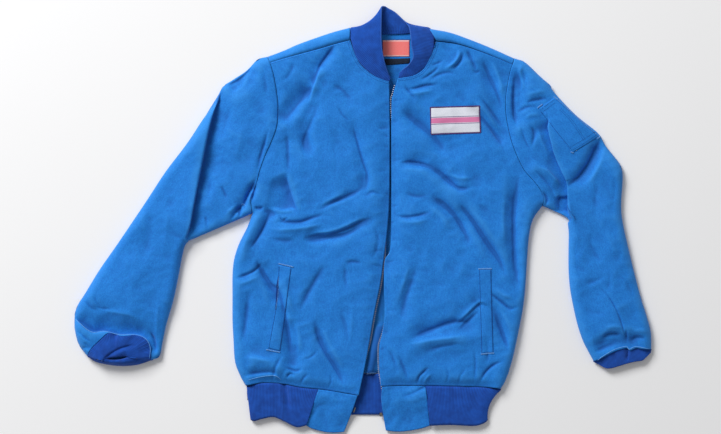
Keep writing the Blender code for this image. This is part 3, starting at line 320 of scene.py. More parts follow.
def smoothLine(points, count=None, shares=None):  # even points, or at given shares, on a smooth line
    pts = np.asarray(points, float)
    ends = np.vstack((2 * pts[:1] - pts[1:2], pts, 2 * pts[-1:] - pts[-2:-1]))
    t = (np.arange(10) / 10)[:, None]  # ten steps from point to point
    dense = [curve(*four, t) for four in zip(ends, ends[1:], ends[2:], ends[3:])]
    dense = np.vstack(dense + [pts[-1:]])
    run = runOf(dense)
    wanted = np.linspace(0, 1, count) if shares is None else np.asarray(shares)
    return pointsAt(dense, wanted * run[-1])


def pointsAt(line, where):  # points of a line at distances along it
    run = runOf(line)
    return np.column_stack([np.interp(where, run, column) for column in line.T])


def spacing(length, between, head=(0.0,), tail=(0.0,)):  # shares: set distances in at both ends, even between
    head = np.asarray(head) / length
    tail = 1 - np.asarray(tail)[::-1] / length
    return np.concatenate((head[:-1], np.linspace(head[-1], tail[0], between + 1), tail[1:]))


def patch(bottom, top, near, far):  # a net of plan points that fills four border lines
    shares = [runOf(line) / runOf(line)[-1] for line in (bottom, top, near, far)]
    u = ((shares[0] + shares[1]) / 2)[None, :, None]
    v = ((shares[2] + shares[3]) / 2)[:, None, None]
    sides = near[:, None] * (1 - u) + far[:, None] * u + bottom[None] * (1 - v) + top[None] * v
    corners = (bottom[0] * (1 - u) + bottom[-1] * u) * (1 - v) + (top[0] * (1 - u) + top[-1] * u) * v
    return sides - corners


def ease(t):
    t = np.clip(t, 0.0, 1.0)
    return t * t * (3 - 2 * t)


def nearestOn(p, line):  # distance to a line, how far along it, which side (left is 1) and its left normal
    best = np.full(len(p), 1e9)
    along = np.zeros(len(p))
    side = np.ones(len(p))
    normal = np.zeros((len(p), 2))
    run = runOf(line)
    for k, (a, b) in enumerate(zip(line, line[1:])):
        ab = b - a
        size = np.linalg.norm(ab)
        t = np.clip(((p - a) @ ab) / size ** 2, 0, 1)
        gap = p - (a + t[:, None] * ab)
        distance = np.linalg.norm(gap, axis=1)
        closer = distance < best
        best[closer] = distance[closer]
        along[closer] = run[k] + t[closer] * size
        side[closer] = np.where(ab[0] * gap[closer, 1] - ab[1] * gap[closer, 0] < 0, -1.0, 1.0)
        normal[closer] = (-ab[1] / size, ab[0] / size)
    return best, along, run[-1], side, normal


def near(p, line, reach):  # which points lie in the line's box, widened
    low, high = line.min(0) - reach, line.max(0) + reach
    return np.flatnonzero(((p > low) & (p < high)).all(axis=1))


outlineLines = [place(smoothLine(line, 3 * len(line))) for line in (
    rightArmOuter, rightArmInner, rightSide, leftArmOuter, leftArmInner, leftSide, rightShoulder,
    leftShoulder)]
mainFoldLines = [(place(smoothLine(path, 12)), width, height) for path, width, height in mainFolds]
overlapLines = [(place(smoothLine(row[0], 30)), *row[1:]) for row in overlaps]
creaseLines = []
for path, height, left, right, *lean in (
        rightFrontCreases + leftFrontCreases + rightSleeveCreases + leftSleeveCreases):
    perNarrow, perWide = folding["steepest"]  # no steeper than cloth stands up
    steepest = perNarrow * min(left, right) + perWide * max(left, right)
    height = math.copysign(min(abs(height) * folding["creaseGain"], steepest), height)
    creaseLines.append((place(smoothLine(path, 14)), height, left, right, sum(lean)))
for tucks, zipLine, inward in ((rightZipTucks, rightZip, -1), (leftZipTucks, leftZip, 1)):
    edge = smoothLine(zipLine, 200)
    (reach, reachMore), (depth, depthMore) = tuckForm["reach"], tuckForm["depth"]
    for number, height in enumerate(tucks):  # no two alike in reach, slope and depth
        edgeX = edge[np.argmin(abs(edge[:, 1] - height)), 0]
        over = inward * (reach + reachMore * math.sin(2.3 * number + inward))
        down = tuckForm["slope"] * math.sin(1.7 * number + 1)
        tuck = place([(edgeX, height), (edgeX + over / 2, height + down * 0.3),
                      (edgeX + over, height + down)])
        creaseLines.append((tuck, -depth - depthMore * math.sin(3.1 * number), *tuckForm["widths"], 0))


def rollShare(p, lines=outlineLines):  # nothing on a rolled outline, 1 where the roll has ended
    inward = np.full(len(p), 1e9)
    for line in lines:
        chosen = near(p, line, cloth["roll"])
        if len(chosen):
            inward[chosen] = np.minimum(inward[chosen], nearestOn(p[chosen], line)[0])
    return np.sqrt(1 - (1 - np.minimum(inward / cloth["roll"], 1)) ** 2)


waves = np.random.default_rng(7)
waveForms = [  # wavelength, height in mm, how many directions, and whether they meet in creases
    (0.085, 0.80, 26, False), (0.040, 0.22, 30, False), (0.060, 0.42, 24, True), (0.030, 0.22, 24, True)]
waveSets = []
for wavelength, height, count, sharp in waveForms:
    turn = waves.uniform(0, 2 * math.pi, count)
    pace = 2 * math.pi / (wavelength * waves.uniform(0.75, 1.35, count))
    waveSets.append((np.column_stack((np.cos(turn), np.sin(turn))) * pace[:, None],
                     waves.uniform(0, 2 * math.pi, count), height / 1000, math.sqrt(2 / count), sharp))


def unevenness(p):  # irregular waves, as cotton has after it was worn and washed
    total = np.zeros(len(p))
    for directions, phases, height, share, sharp in waveSets:
        wave = np.sin(p @ directions.T + phases).sum(axis=1) * share
        total += height * (0.8 - np.sqrt(wave ** 2 + 0.004) if sharp else wave)
    return total


def upperLayer(plan):  # outer face of the cloth that lies on top, over plan points
    f = folding
    p = plan.reshape(-1, 2)
    rise = np.full(len(p), cloth["lie"])
    for centre, radius, swell in swells:
        gap = np.linalg.norm(p - place(centre), axis=1) * 1000 / radius
        rise += swell / 1000 * np.exp(-gap ** 2)
    for line, width, height in mainFoldLines:
        chosen = near(p, line, f["foldReach"] * width)
        if len(chosen):
            gap, along, whole = nearestOn(p[chosen], line)[:3]
            taper = ease(f["foldEnd"] + np.minimum(along, whole - along) / (f["foldTaper"] * whole))
            rise[chosen] += f["foldGain"] * height / 1000 * taper * np.exp(-(gap * 1000 / width) ** 2)
    moved = p.copy()
    for line, left, high, right, low, hang, ends in overlapLines:
        chosen = near(p, line, f["overlapReach"])
        gap, along, whole, side, normal = nearestOn(p[chosen], line)
        fade = (f["overlapTaper"] - ends / 2) * whole
        taper = ease(np.minimum(along, whole - along) / fade + ends) / 1000
        above = high * np.exp(-(gap * 1000 / left) ** 2)
        below = -low * np.exp(-(gap * 1000 / right) ** 2)
        inside = side * gap - hang * f["inPerHang"]  # the lip is half its overhang inside the path
        over = 0.5 + 0.5 * np.tanh(inside / (f["lip"] - f["lipPerHang"] * hang))
        rise[chosen] += taper * (above * over + below * (1 - over))
        pulled = hang * taper * over * np.exp(-(inside / (f["decayPerHang"] * hang)) ** 2)
        moved[chosen] -= normal * pulled[:, None]
    for line, height, left, right, lean in creaseLines:
        chosen = near(p, line, f["creaseReach"] * max(left, right))
        if len(chosen):
            gap, along, whole, side, normal = nearestOn(p[chosen], line)
            width = np.where(side > 0, left, right) * f["creaseWidth"] / 1000
            taper = ease(np.minimum(along, whole - along) / (f["creaseTaper"] * whole))
            blunt = np.sqrt((gap / width) ** 2 + f["blunt"] ** 2) - f["blunt"]
            shareHere = taper * np.exp(-f["power"] * blunt ** f["power"])
            rise[chosen] += height / 1000 * shareHere
            moved[chosen] += normal * (lean / 1000 * shareHere)[:, None]
    rise += unevenness(p)
    rise = cloth["turn"] + (rise - cloth["turn"]) * rollShare(p)
    return np.column_stack((moved, np.maximum(rise, cloth["lowest"]))).reshape(*plan.shape[:-1], 3)


def onTop(plan):  # the upper layer where it is seen at each plan point, below what hangs over
    source = plan.copy()
    for _ in range(8):
        source = source + plan - upperLayer(source)[..., :2]
    return upperLayer(source)


def dented(plan, dents):  # how far the cloth of an under side stands off the floor along each crease
    p = plan.reshape(-1, 2)
    z = np.zeros(len(p))
    for path, height, width in dents:
        gap = nearestOn(p, place(smoothLine(path, 10)))[0] * 1000
        z += height / 1000 * np.exp(-(gap / width) ** 2)
    return z.reshape(plan.shape[:-1])


def raised(plan, z):  # plan points with their heights
    return np.concatenate((plan, np.broadcast_to(z, plan.shape[:-1])[..., None]), axis=-1)


def lowerLayer(plan):  # outer face of a lower layer that rests on the floor and curls up to the outline
    p = plan.reshape(-1, 2)
    share = rollShare(p)
    slack = np.maximum(unevenness(p * 0.8 + 3.0), 0) * 0.5  # waves of its own
    return raised(plan, (cloth["turn"] * (1 - share) + slack * share).reshape(plan.shape[:-1]))


def normalsOf(net, ring=False, flip=False):
    if ring:
        across = np.roll(net, -1, axis=1) - np.roll(net, 1, axis=1)
    else:
        across = np.gradient(net, axis=1)
    normal = np.cross(across, np.gradient(net, axis=0))
    normal /= np.maximum(np.linalg.norm(normal, axis=2, keepdims=True), 1e-12)
    return -normal if flip else normal


def ridgeShare(net, normal, ring, reach, full):  # above nothing on a ridge, below nothing in a fold
    def shifted(step, axis):
        if ring and axis == 1:
            return np.roll(net, step, axis=1)
        index = np.clip(np.arange(net.shape[axis]) - step, 0, net.shape[axis] - 1)
        return np.take(net, index, axis=axis)
    around = (shifted(reach, 0) + shifted(-reach, 0) + shifted(reach, 1) + shifted(-reach, 1)) / 4
    return np.clip(((net - around) * normal).sum(axis=2) / full, -1, 1)


def gridQuads(rows, columns, ring, u, v):  # a net's quads and their texture corners
    wide = columns if ring else columns - 1
    i, j = np.meshgrid(np.arange(rows - 1), np.arange(wide), indexing="ij")
    i, j = i.ravel(), j.ravel()
    k = (j + 1) % columns
    quads = np.column_stack((i * columns + j, i * columns + k, (i + 1) * columns + k, (i + 1) * columns + j))
    corners = np.stack([np.column_stack((u[j + right], v[i + up]))
                        for right, up in ((0, 0), (1, 0), (1, 1), (0, 1))], axis=1)
    return quads, corners


def putIn(name, mesh, finish):  # a mesh becomes a piece of the scene
    mesh.materials.append(finish)
    mesh.shade_smooth()
    piece = bpy.data.objects.new(name, mesh)
    bpy.context.scene.collection.objects.link(piece)
    return piece


def fillMesh(name, points, quads, corners, finish, rubAndPaintedLight=None):  # quads with their own texture corners
    mesh = bpy.data.meshes.new(name)
    mesh.from_pydata(points.tolist(), [], quads.tolist())
    layer = mesh.uv_layers.new(name="cut")
    layer.data.foreach_set("uv", corners.reshape(-1).astype(np.float32))
    if rubAndPaintedLight is not None:
        # each point's rub: wear and painted highlight on ridges, painted shade in folds and furrows
        wearAndPaintedLight = mesh.attributes.new("wearAndPaintedLight", "FLOAT", "POINT")
        wearAndPaintedLight.data.foreach_set("value", rubAndPaintedLight.reshape(-1).astype(np.float32))
    return putIn(name, mesh, finish)


rubAndLightForms = [(3, 0.0012), (8, 0.0050)]  # the small folds and the wide ones: columns away, full rub and painted light in metres


def sheetPiece(name, net, wall, finish, ring=False, flip=False, relief=None, wearAndPaintedLight=True):
    # a closed shell: the net is its outer face and the wall goes inwards; relief is raised on both faces
    rows, columns = net.shape[:2]
    normal = normalsOf(net, ring, flip)
    if relief is None:
        # paler on ridges, partly wear and partly painted highlight; darker in folds, painted shade
        rubAndPaintedLight = wearAndPaintedLight * sum(ridgeShare(net, normal, ring, *form) for form in rubAndLightForms) / 1.5
        bump = 0
    else:
        # a knit's relief: its furrows darkened, painted shade
        rubAndPaintedLight = relief / np.abs(relief).max()
        bump = normal * relief[..., None]
    points = np.vstack(((net + bump).reshape(-1, 3), (net - normal * wall - bump).reshape(-1, 3)))
    points[:, 2] = np.maximum(points[:, 2], 0.0)  # it lies on the floor
    count = rows * columns
    steps = np.linalg.norm(np.diff(net, axis=1, append=net[:, :1] if ring else net[:, -1:]), axis=2).mean(0)
    u = np.concatenate(([0.0], np.cumsum(steps)))
    v = np.concatenate(([0.0], np.cumsum(np.linalg.norm(np.diff(net, axis=0), axis=2).mean(1))))
    loop, cut = gridQuads(rows, columns, ring, u, v)
    turned, cutTurned = loop[:, ::-1], cut[:, ::-1]
    quads, corners = [loop, turned + count], [cut, cutTurned]
    if flip:
        quads, corners = [turned, loop + count], [cutTurned, cut]
    wide = np.arange(columns if ring else columns - 1)
    last = (rows - 1) * columns
    rims = [(wide, (wide + 1) % columns, 1), (last + wide, last + (wide + 1) % columns, -1)]
    if not ring:
        up = np.arange(rows - 1) * columns
        rims += [(up, up + columns, -1), (up + columns - 1, up + 2 * columns - 1, 1)]
    for a, b, turn in rims:
        rim = np.column_stack((a, a + count, b + count, b))
        if (turn < 0) != flip:
            rim = rim[:, ::-1]
        quads.append(rim)
        corners.append(np.full((len(rim), 4, 2), 0.001))
    rubAndPaintedLight = np.concatenate((rubAndPaintedLight.ravel(), rubAndPaintedLight.ravel()))
    piece = fillMesh(name, points, np.vstack(quads), np.vstack(corners), finish, rubAndPaintedLight)
    piece["area"] = float(u[-1] * v[-1])
    return piece


def toLinear(code):  # an sRGB hex value as linear red, green and blue
    parts = [int(code[k:k + 2], 16) / 255 for k in (1, 3, 5)]
    return [c / 12.92 if c <= 0.04045 else ((c + 0.055) / 1.055) ** 2.4 for c in parts] + [1.0]


def add(tree, kind, settings, links=None, out=0):  # a node with its settings and links; gives an output
    node = tree.nodes.new(kind)
    for name, value in settings.items():
        if name == "stops":
            for stop, (position, colour) in zip(node.color_ramp.elements, value):
                stop.position = position
                stop.color = toLinear(colour)
        elif isinstance(name, str) and hasattr(node, name):
            setattr(node, name, value)
        else:
            node.inputs[name].default_value = value
    for name, source in (links or {}).items():
        tree.links.new(source, node.inputs[name])
    return node.outputs[out]


def startMaterial(name, settings):
    material = bpy.data.materials.new(name)
    material.use_nodes = True
    for socket, value in settings.items():
        material.node_tree.nodes["Principled BSDF"].inputs[socket].default_value = value
    return material, material.node_tree


def lead(tree, links):  # outputs go to the sockets of the material's shader
    for socket, source in links.items():
        tree.links.new(source, tree.nodes["Principled BSDF"].inputs[socket])


def makeTwill(name, low, high, wearAndPaintedLight, paintedShadeColour):
    # cotton twill, yarn dyed azure: matt with a dusty sheen, fine diagonal wales, paler on the ridges, partly
    # wear and partly painted highlight, and darker in the folds, which is painted shade
    material, tree = startMaterial(name, {
        "Roughness": 0.78, "Sheen Weight": 0.14, "Sheen Roughness": 0.45, "Specular IOR Level": 0.28})
    cut = add(tree, "ShaderNodeUVMap", {"uv_map": "cut"})
    solid = add(tree, "ShaderNodeTexCoord", {}, out="Object")
    mottle = add(tree, "ShaderNodeTexNoise", {"Scale": 420.0, "Detail": 4.0, "Roughness": 0.75},
                 {"Vector": solid})
    slub = add(tree, "ShaderNodeMapping", {"Scale": (520.0, 70.0, 1.0)}, {"Vector": cut})
    slubs = add(tree, "ShaderNodeTexNoise", {"Scale": 1.0, "Detail": 2.0}, {"Vector": slub})
    both = add(tree, "ShaderNodeMath", {"operation": "MULTIPLY_ADD", 1: 0.3}, {0: slubs, 2: mottle})
    dyed = add(tree, "ShaderNodeValToRGB", {"stops": [(0.55, low), (0.76, high)]}, {"Fac": both})
    # the rub: paler on the ridges, partly wear and partly painted highlight
    rubAndPaintedLight = add(tree, "ShaderNodeAttribute", {"attribute_name": "wearAndPaintedLight"}, out="Fac")
    ridge = add(tree, "ShaderNodeMapRange", {"From Min": 0.15, "From Max": 1.0, "To Max": 0.35},
                {"Value": rubAndPaintedLight})
    pale = add(tree, "ShaderNodeMix", {"data_type": "RGBA", 7: toLinear(wearAndPaintedLight)},
               {"Factor": ridge, 6: dyed}, 2)
    # painted shade: darker in the folds, towards the shade colour
    hollow = add(tree, "ShaderNodeMapRange", {
        "From Min": -1.0, "From Max": -0.05, "To Min": 0.62, "To Max": 0.0}, {"Value": rubAndPaintedLight})
    paintedFoldShade = add(tree, "ShaderNodeMix", {"data_type": "RGBA", 7: toLinear(paintedShadeColour)},
               {"Factor": hollow, 6: pale}, 2)
    # the real wales are 0.7 mm apart; these are 1.3 mm, as coarse as shows at all
    wale = add(tree, "ShaderNodeMapping", {"Rotation": (0, 0, math.radians(27))}, {"Vector": cut})
    wales = add(tree, "ShaderNodeTexWave", {
        "bands_direction": "X", "Scale": 2 * math.pi / 20 / 0.0013, "Distortion": 1.2, "Detail": 2.0,
        "Detail Scale": 2.0}, {"Vector": wale}, "Fac")
    grain = add(tree, "ShaderNodeTexNoise", {"Scale": 700.0, "Detail": 4.0}, {"Vector": solid})
    crumple = add(tree, "ShaderNodeTexNoise", {
        "Scale": 120.0, "Detail": 5.0, "Roughness": 0.55, "Distortion": 0.6}, {"Vector": solid})
    soft = add(tree, "ShaderNodeBump", {"Strength": 0.16, "Distance": 0.0016}, {"Height": crumple})
    mid = add(tree, "ShaderNodeBump", {"Strength": 0.3, "Distance": 0.0003},
              {"Height": wales, "Normal": soft})
    fine = add(tree, "ShaderNodeBump", {"Strength": 0.35, "Distance": 0.0003},
               {"Height": grain, "Normal": mid})
    lead(tree, {"Base Color": paintedFoldShade, "Normal": fine})
    return material


def makeKnit(name, low, high, furrow):
    # two by two cotton rib knit in royal blue: columns of small stitches, dull, fuzzy in the light, with
    # painted shade in the furrows between the ribs
    material, tree = startMaterial(name, {
        "Roughness": 0.92, "Sheen Weight": 0.12, "Sheen Roughness": 0.6, "Specular IOR Level": 0.15})
    cut = add(tree, "ShaderNodeUVMap", {"uv_map": "cut"})
    solid = add(tree, "ShaderNodeTexCoord", {}, out="Object")
    # one stitch is 1.3 by 1.1 mm
    loops = add(tree, "ShaderNodeMapping", {"Scale": (1 / 0.0013, 1 / 0.0011, 1.0)}, {"Vector": cut})
    stitch = add(tree, "ShaderNodeTexVoronoi", {"Scale": 1.0, "Randomness": 0.25}, {"Vector": loops})
    mottle = add(tree, "ShaderNodeTexNoise", {"Scale": 80.0, "Detail": 4.0}, {"Vector": solid})
    both = add(tree, "ShaderNodeMath", {"operation": "MULTIPLY_ADD", 1: -0.25}, {0: stitch, 2: mottle})
    dyed = add(tree, "ShaderNodeValToRGB", {"stops": [(0.2, low), (0.6, high)]}, {"Fac": both})
    # painted shade: the furrows between the ribs darken towards the furrow colour
    relief = add(tree, "ShaderNodeAttribute", {"attribute_name": "wearAndPaintedLight"}, out="Fac")
    depth = add(tree, "ShaderNodeMapRange", {
        "From Min": -1.0, "From Max": 0.6, "To Min": 0.85, "To Max": 0.0}, {"Value": relief})
    shade = add(tree, "ShaderNodeMix", {"data_type": "RGBA", 7: toLinear(furrow)},
                {"Factor": depth, 6: dyed}, 2)
    bump = add(tree, "ShaderNodeBump", {"Strength": 0.6, "Distance": 0.0005, "invert": True},
               {"Height": stitch})
    lead(tree, {"Base Color": shade, "Normal": bump})
    return material


def makeThread(name, low, high, roughness=0.6, scale=1500.0):
    # spun thread or woven tape: short bright and dark turns of the ply
    material, tree = startMaterial(name, {
        "Roughness": roughness, "Sheen Weight": 0.04, "Specular IOR Level": 0.2})
    solid = add(tree, "ShaderNodeTexCoord", {}, out="Object")
    ply = add(tree, "ShaderNodeTexNoise", {"Scale": scale, "Detail": 2.0}, {"Vector": solid})
    dyed = add(tree, "ShaderNodeValToRGB", {"stops": [(0.35, low), (0.65, high)]}, {"Fac": ply})
    bump = add(tree, "ShaderNodeBump", {"Strength": 0.4, "Distance": 0.0002}, {"Height": ply})
    lead(tree, {"Base Color": dyed, "Normal": bump})
    return material


def makeMetal(name, low, high, roughness):
    # zinc alloy, diecast, plated and tumbled: dull, darker in its scuffs
    material, tree = startMaterial(name, {"Metallic": 1.0, "Roughness": roughness})
    solid = add(tree, "ShaderNodeTexCoord", {}, out="Object")
    scuffs = add(tree, "ShaderNodeTexNoise", {"Scale": 900.0, "Detail": 4.0}, {"Vector": solid})
    plated = add(tree, "ShaderNodeValToRGB", {"stops": [(0.35, low), (0.7, high)]}, {"Fac": scuffs})
    rough = add(tree, "ShaderNodeMapRange", {"To Min": roughness - 0.12, "To Max": roughness + 0.2},
                {"Value": scuffs})
    lead(tree, {"Base Color": plated, "Roughness": rough})
    return material


def makeBanded(name, low, high, bands, height, weaveScale, roughness=0.5):
    # woven satin or twill with plain bands along it: distance from its middle line, half width, colour
    material, tree = startMaterial(name, {"Roughness": roughness, "Sheen Weight": 0.2})
    cut = add(tree, "ShaderNodeUVMap", {"uv_map": "cut"})
    rows = add(tree, "ShaderNodeMapping", {"Scale": weaveScale}, {"Vector": cut})
    weave = add(tree, "ShaderNodeTexNoise", {"Scale": 1.0, "Detail": 2.0}, {"Vector": rows})
    colour = add(tree, "ShaderNodeValToRGB", {"stops": [(0.3, low), (0.7, high)]}, {"Fac": weave})
    along = add(tree, "ShaderNodeSeparateXYZ", {}, {"Vector": cut}, "Y")
    middle = add(tree, "ShaderNodeMath", {"operation": "SUBTRACT", 1: height / 2}, {0: along})
    away = add(tree, "ShaderNodeMath", {"operation": "ABSOLUTE"}, {0: middle})
    for centre, half, tint in bands:
        inBand = add(tree, "ShaderNodeMath", {"operation": "COMPARE", 1: centre, 2: half}, {0: away})
        colour = add(tree, "ShaderNodeMix", {"data_type": "RGBA", 7: toLinear(tint)},
                     {"Factor": inBand, 6: colour}, 2)
    bump = add(tree, "ShaderNodeBump", {"Strength": 0.3, "Distance": 0.0002}, {"Height": weave})
    lead(tree, {"Base Color": colour, "Normal": bump})
    return material


labelForm = {"height": 0.0309, "border": 0.0013}  # the border is given as half its width
patchForm = {"height": 0.0508, "stripe": 0.0050, "gap": 0.0016, "line": 0.0006}  # stripe and line as well
# the last two colours: pale ridges, wear with painted highlight, and painted shade in the folds
azureTwill = makeTwill("azureTwill", "#1471CC", "#1E84DE", "#3795E6", "#0B4A9C")
# its last colour is painted shade in the furrows between the ribs
royalRib = makeKnit("royalRibKnit", "#1048A3", "#185BC4", "#0D3486")
paleThread = makeThread("paleBlueThread", "#4E93DC", "#7FB4EA")
# pale rolled edges: painted highlight on the lit rims of folds and seams
paintedEdgeHighlight = makeThread("foldedTwillEdgeHighlight", "#4C95DF", "#74B0EC", 0.8, 900.0)
navyTape = makeThread("navyZipTape", "#101B3E", "#1A2A58", 0.85, 1100.0)
# pocketing seen in the welt's mouth, darkened as painted shade
pocketingInPaintedShade = makeThread("pocketingInShade", "#062A6E", "#0A3684", 0.9, 800.0)
dullBrass = makeMetal("dullBrass", "#66625D", "#BAB5AD", 0.36)
# the label is bare salmon satin with a paler border above and below
salmonLabel = makeBanded("salmonDamask", "#FF706C", "#FF8C88", [
    (labelForm["height"] / 2 - labelForm["border"], labelForm["border"], "#F9BDB8")],
    labelForm["height"], (300.0, 1400.0, 1.0))
# the patch is white twill with one pink stripe between two plum lines
patchTwill = makeBanded("whitePatchTwill", "#C9CFE0", "#EDEFF6", [
    (0.0, patchForm["stripe"], "#D778A8"),
    (patchForm["stripe"] + patchForm["gap"], patchForm["line"], "#5B3A78")],
    patchForm["height"], (900.0, 900.0, 1.0), 0.85)
blackStrip = makeThread("blackSatinStrip", "#121B2C", "#222F44", 0.7, 700.0)
# a paler rolled edge: painted highlight along the collar's free edge
ribEdgeHighlight = makeThread("rolledRibEdgeHighlight", "#2250A8", "#3868BE", 0.85, 1200.0)
plumThread = makeThread("plumThread", "#432A62", "#6C4488", 0.6, 1200.0)
azureThread = makeThread("azureThread", "#1C69C4", "#3D8CE0", 0.7)
# deep blue thread: the neck's dark stitching, and painted shade on the welts' and sleeve pocket's lines
seamThreadAndShade = makeThread("deepBlueThreadAndShade", "#08367A", "#0F4796", 0.7)
dullNickel = makeMetal("dullNickel", "#8FA2C4", "#D6DEEC", 0.5)
print("materials made")



def dress(piece, node, slot, **cut):  # the piece takes the place of its node, whose solid is hidden
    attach(piece, "root")
    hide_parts(node)
    print(piece.name, "laid", round(piece["area"], 4))


# the cloth pieces
frontForms = {
    "front_right": {"side": rightSide, "waist": rightWaist, "hole": rightHole, "zip": rightZip,
                    "shoulder": rightShoulderSeam, "neck": rightNeck, "sideways": cloth["gap"],
                    "flip": False, "cut": (0.32, 0.70), "area": 0.17},
    "front_left": {"side": leftSide, "waist": leftWaist, "hole": leftHole, "zip": leftZip,
                   "shoulder": leftShoulderSeam, "neck": leftNeck, "sideways": -cloth["gap"],
                   "flip": True, "cut": (0.32, 0.70), "area": 0.17},
}
frontForm = {"across": 120, "along": 286, "toNeck": 0.58}  # columns, rows, the shoulder's share of columns
wrapForm = {"pace": 0.0024, "length": 0.0085, "reach": 0.9, "columns": (0.0, 0.33, 0.66, 1.0)}
oneBelow = cloth["wall"] + 1.5 * cloth["gap"]  # from the face of a cloth to the face it lies on


def frontNet(form):  # from the side seam and armhole to the zip, and from the waist seam to the neck
    insets = cloth["insets"]
    rows = frontForm["along"]
    holeLength = lengthOf(smoothLine(form["hole"], 60))
    sideLength = lengthOf(smoothLine(form["side"], 60))
    sideRows = round(rows * sideLength / (sideLength + holeLength))
    start = cloth["overShoulder"] / holeLength  # the hole's first stretch belongs to the back's flap
    hole = smoothLine(form["hole"], shares=np.linspace(1, start, rows - sideRows + 1))
    outer = place(np.vstack((smoothLine(form["side"], sideRows)[:-1], hole)))
    edge = place(smoothLine(form["zip"], len(outer)))
    count = round(frontForm["across"] * frontForm["toNeck"])
    top = smoothLine(form["shoulder"], shares=spacing(lengthOf(form["shoulder"]), count, insets))
    top = place(np.vstack((top, smoothLine(form["neck"], frontForm["across"] - count + 1)[1:])))
    shares = spacing(lengthOf(form["waist"]), len(top) - len(insets), insets)
    net = upperLayer(patch(place(smoothLine(form["waist"], shares=shares)), top, outer, edge))
    # the roll goes on down to the side seam, in three more columns
    run = np.maximum(np.arange(len(outer)) - (sideRows - 1), 0) * wrapForm["pace"]
    wrapped = (1 - ease(run / wrapForm["length"]))[:, None]
    columns = []
    for part in wrapForm["columns"]:
        column = net[:, 0] + (net[:, 1] - net[:, 0]) * part * wrapForm["reach"] * (1 - wrapped)
        column[:, 2] += ((oneBelow - column[:, 2]) * wrapped[:, 0]) * (1 - part)
        columns.append(column)
    net = np.concatenate((np.stack(columns, axis=1), net[:, 1:]), axis=1)
    return net + (form["sideways"], -cloth["gap"] / 2, 0)


frontNets = {name: frontNet(form) for name, form in frontForms.items()}
for name, form in frontForms.items():
    piece = sheetPiece(name + "_cloth", frontNets[name], cloth["wall"], azureTwill, flip=form["flip"])
    dress(piece, name, "twill", flat=form["cut"], held="laid", rests_on=["back"], area=form["area"])

sleeveForms = {  # dense: this share of the rows lies in this share of the length
    "sleeve_right": {  # knee: where the inner outline turns, and where that is on the outer one
        "outer": rightArmOuter, "inner": rightArmInner, "hole": rightHole, "backHole": rightBackHole,
        "seam": rightCuffSeam, "under": rightCuffUnder, "sideways": -cloth["gap"], "flip": True,
        "along": 240, "knee": (0.39, 0.42), "dense": (0.78, 0.86), "cut": (0.42, 0.64), "area": 0.19,
        "dents": [
            (((200, 146), (184, 160), (170, 184)), 1.8, 8),
            (((150, 226), (162, 236), (178, 238)), 2.0, 8),
            (((112, 290), (128, 300), (148, 300)), 1.7, 9),
            (((240, 108), (250, 136), (244, 168)), 1.8, 8)]},
    "sleeve_left": {
        "outer": leftArmOuter, "inner": leftArmInner, "hole": leftHole, "backHole": leftBackHole,
        "seam": leftCuffSeam, "under": leftCuffUnder, "sideways": cloth["gap"], "flip": False,
        "along": 220, "knee": (0.16, 0.36), "dense": (0.50, 0.44), "cut": (0.42, 0.64), "area": 0.19,
        "dents": [
            (((556, 118), (570, 138), (592, 146)), 1.8, 8),
            (((578, 204), (596, 212), (612, 206)), 2.0, 8),
            (((584, 280), (602, 292), (624, 288)), 1.7, 9),
            (((526, 100), (532, 128), (528, 150)), 1.8, 8)]},
}
sleeveSides = {  # columns between the insets, and the insets from both outlines
    "upper": (88, cloth["insets"]), "lower": (24, [0, 0.0015, 0.0035, 0.006, 0.0095])}


def sleeveNet(form):  # rings: over the top from the outer outline to the inner, and back underneath
    rowShare, length = form["dense"]
    down = np.interp(np.linspace(0, 1, form["along"]), (0, rowShare, 1), (0, length, 1))
    outer = place(smoothLine(form["outer"], shares=down))
    corner, turn = form["knee"]
    inner = place(smoothLine(form["inner"], shares=np.interp(down, (0, turn, 1), (0, corner, 1))))
    plans = []
    for side, hole, seam in (("upper", form["hole"], form["seam"]),
                             ("lower", form["backHole"][::-1], form["under"])):
        count, insets = sleeveSides[side]
        ends = [place(smoothLine(line, shares=spacing(lengthOf(line), count, insets, insets)))
                for line in (hole, seam)]
        plans.append(patch(*ends, outer, inner))
    lower = lowerLayer(plans[1])
    lower[..., 2] += dented(lower[..., :2], form["dents"])
    rings = np.concatenate((upperLayer(plans[0]), lower[:, -2:0:-1]), axis=1)
    return rings + (form["sideways"], 0, 0)


for name, form in sleeveForms.items():
    piece = sheetPiece(name + "_cloth", sleeveNet(form), cloth["wall"], azureTwill, ring=True,
                       flip=form["flip"])
    dress(piece, name, "twill", flat=form["cut"], held="laid", rests_on=["back"], area=form["area"])

backForm = {"shoulder": 70, "neck": 44, "side": 44, "hole": 50, "cut": (0.60, 0.78),
            "insets": [0, 0.0012, 0.0030, 0.0055, 0.0095, 0.0170]}
backCreases = [  # on the inside that the neck and the open fronts show: path, rise and width in mm
    (((399, 70), (387, 74), (374, 73)), 1.6, 3.0), (((368, 376), (374, 352), (379, 330)), 7.5, 10.0),
    (((383, 240), (382, 280), (380, 316)), 2.0, 5.0), (((300, 330), (330, 200), (310, 120)), 0.6, 30),
    (((420, 340), (440, 220), (470, 140)), 0.6, 30), (((262, 100), (300, 122), (350, 128)), 1.8, 8.0),
    (((430, 116), (470, 108), (505, 84)), 1.5, 7.0), (((250, 236), (290, 228), (336, 240)), 2.2, 9.0),
    (((400, 236), (450, 222), (510, 232)), 2.0, 8.0), (((262, 300), (276, 322), (282, 356)), 1.8, 8.0),
    (((480, 300), (470, 330), (474, 362)), 1.6, 9.0), (((300, 352), (330, 346), (352, 356)), 1.2, 7.0),
    (((420, 300), (446, 290), (470, 296)), 1.3, 8.0)]


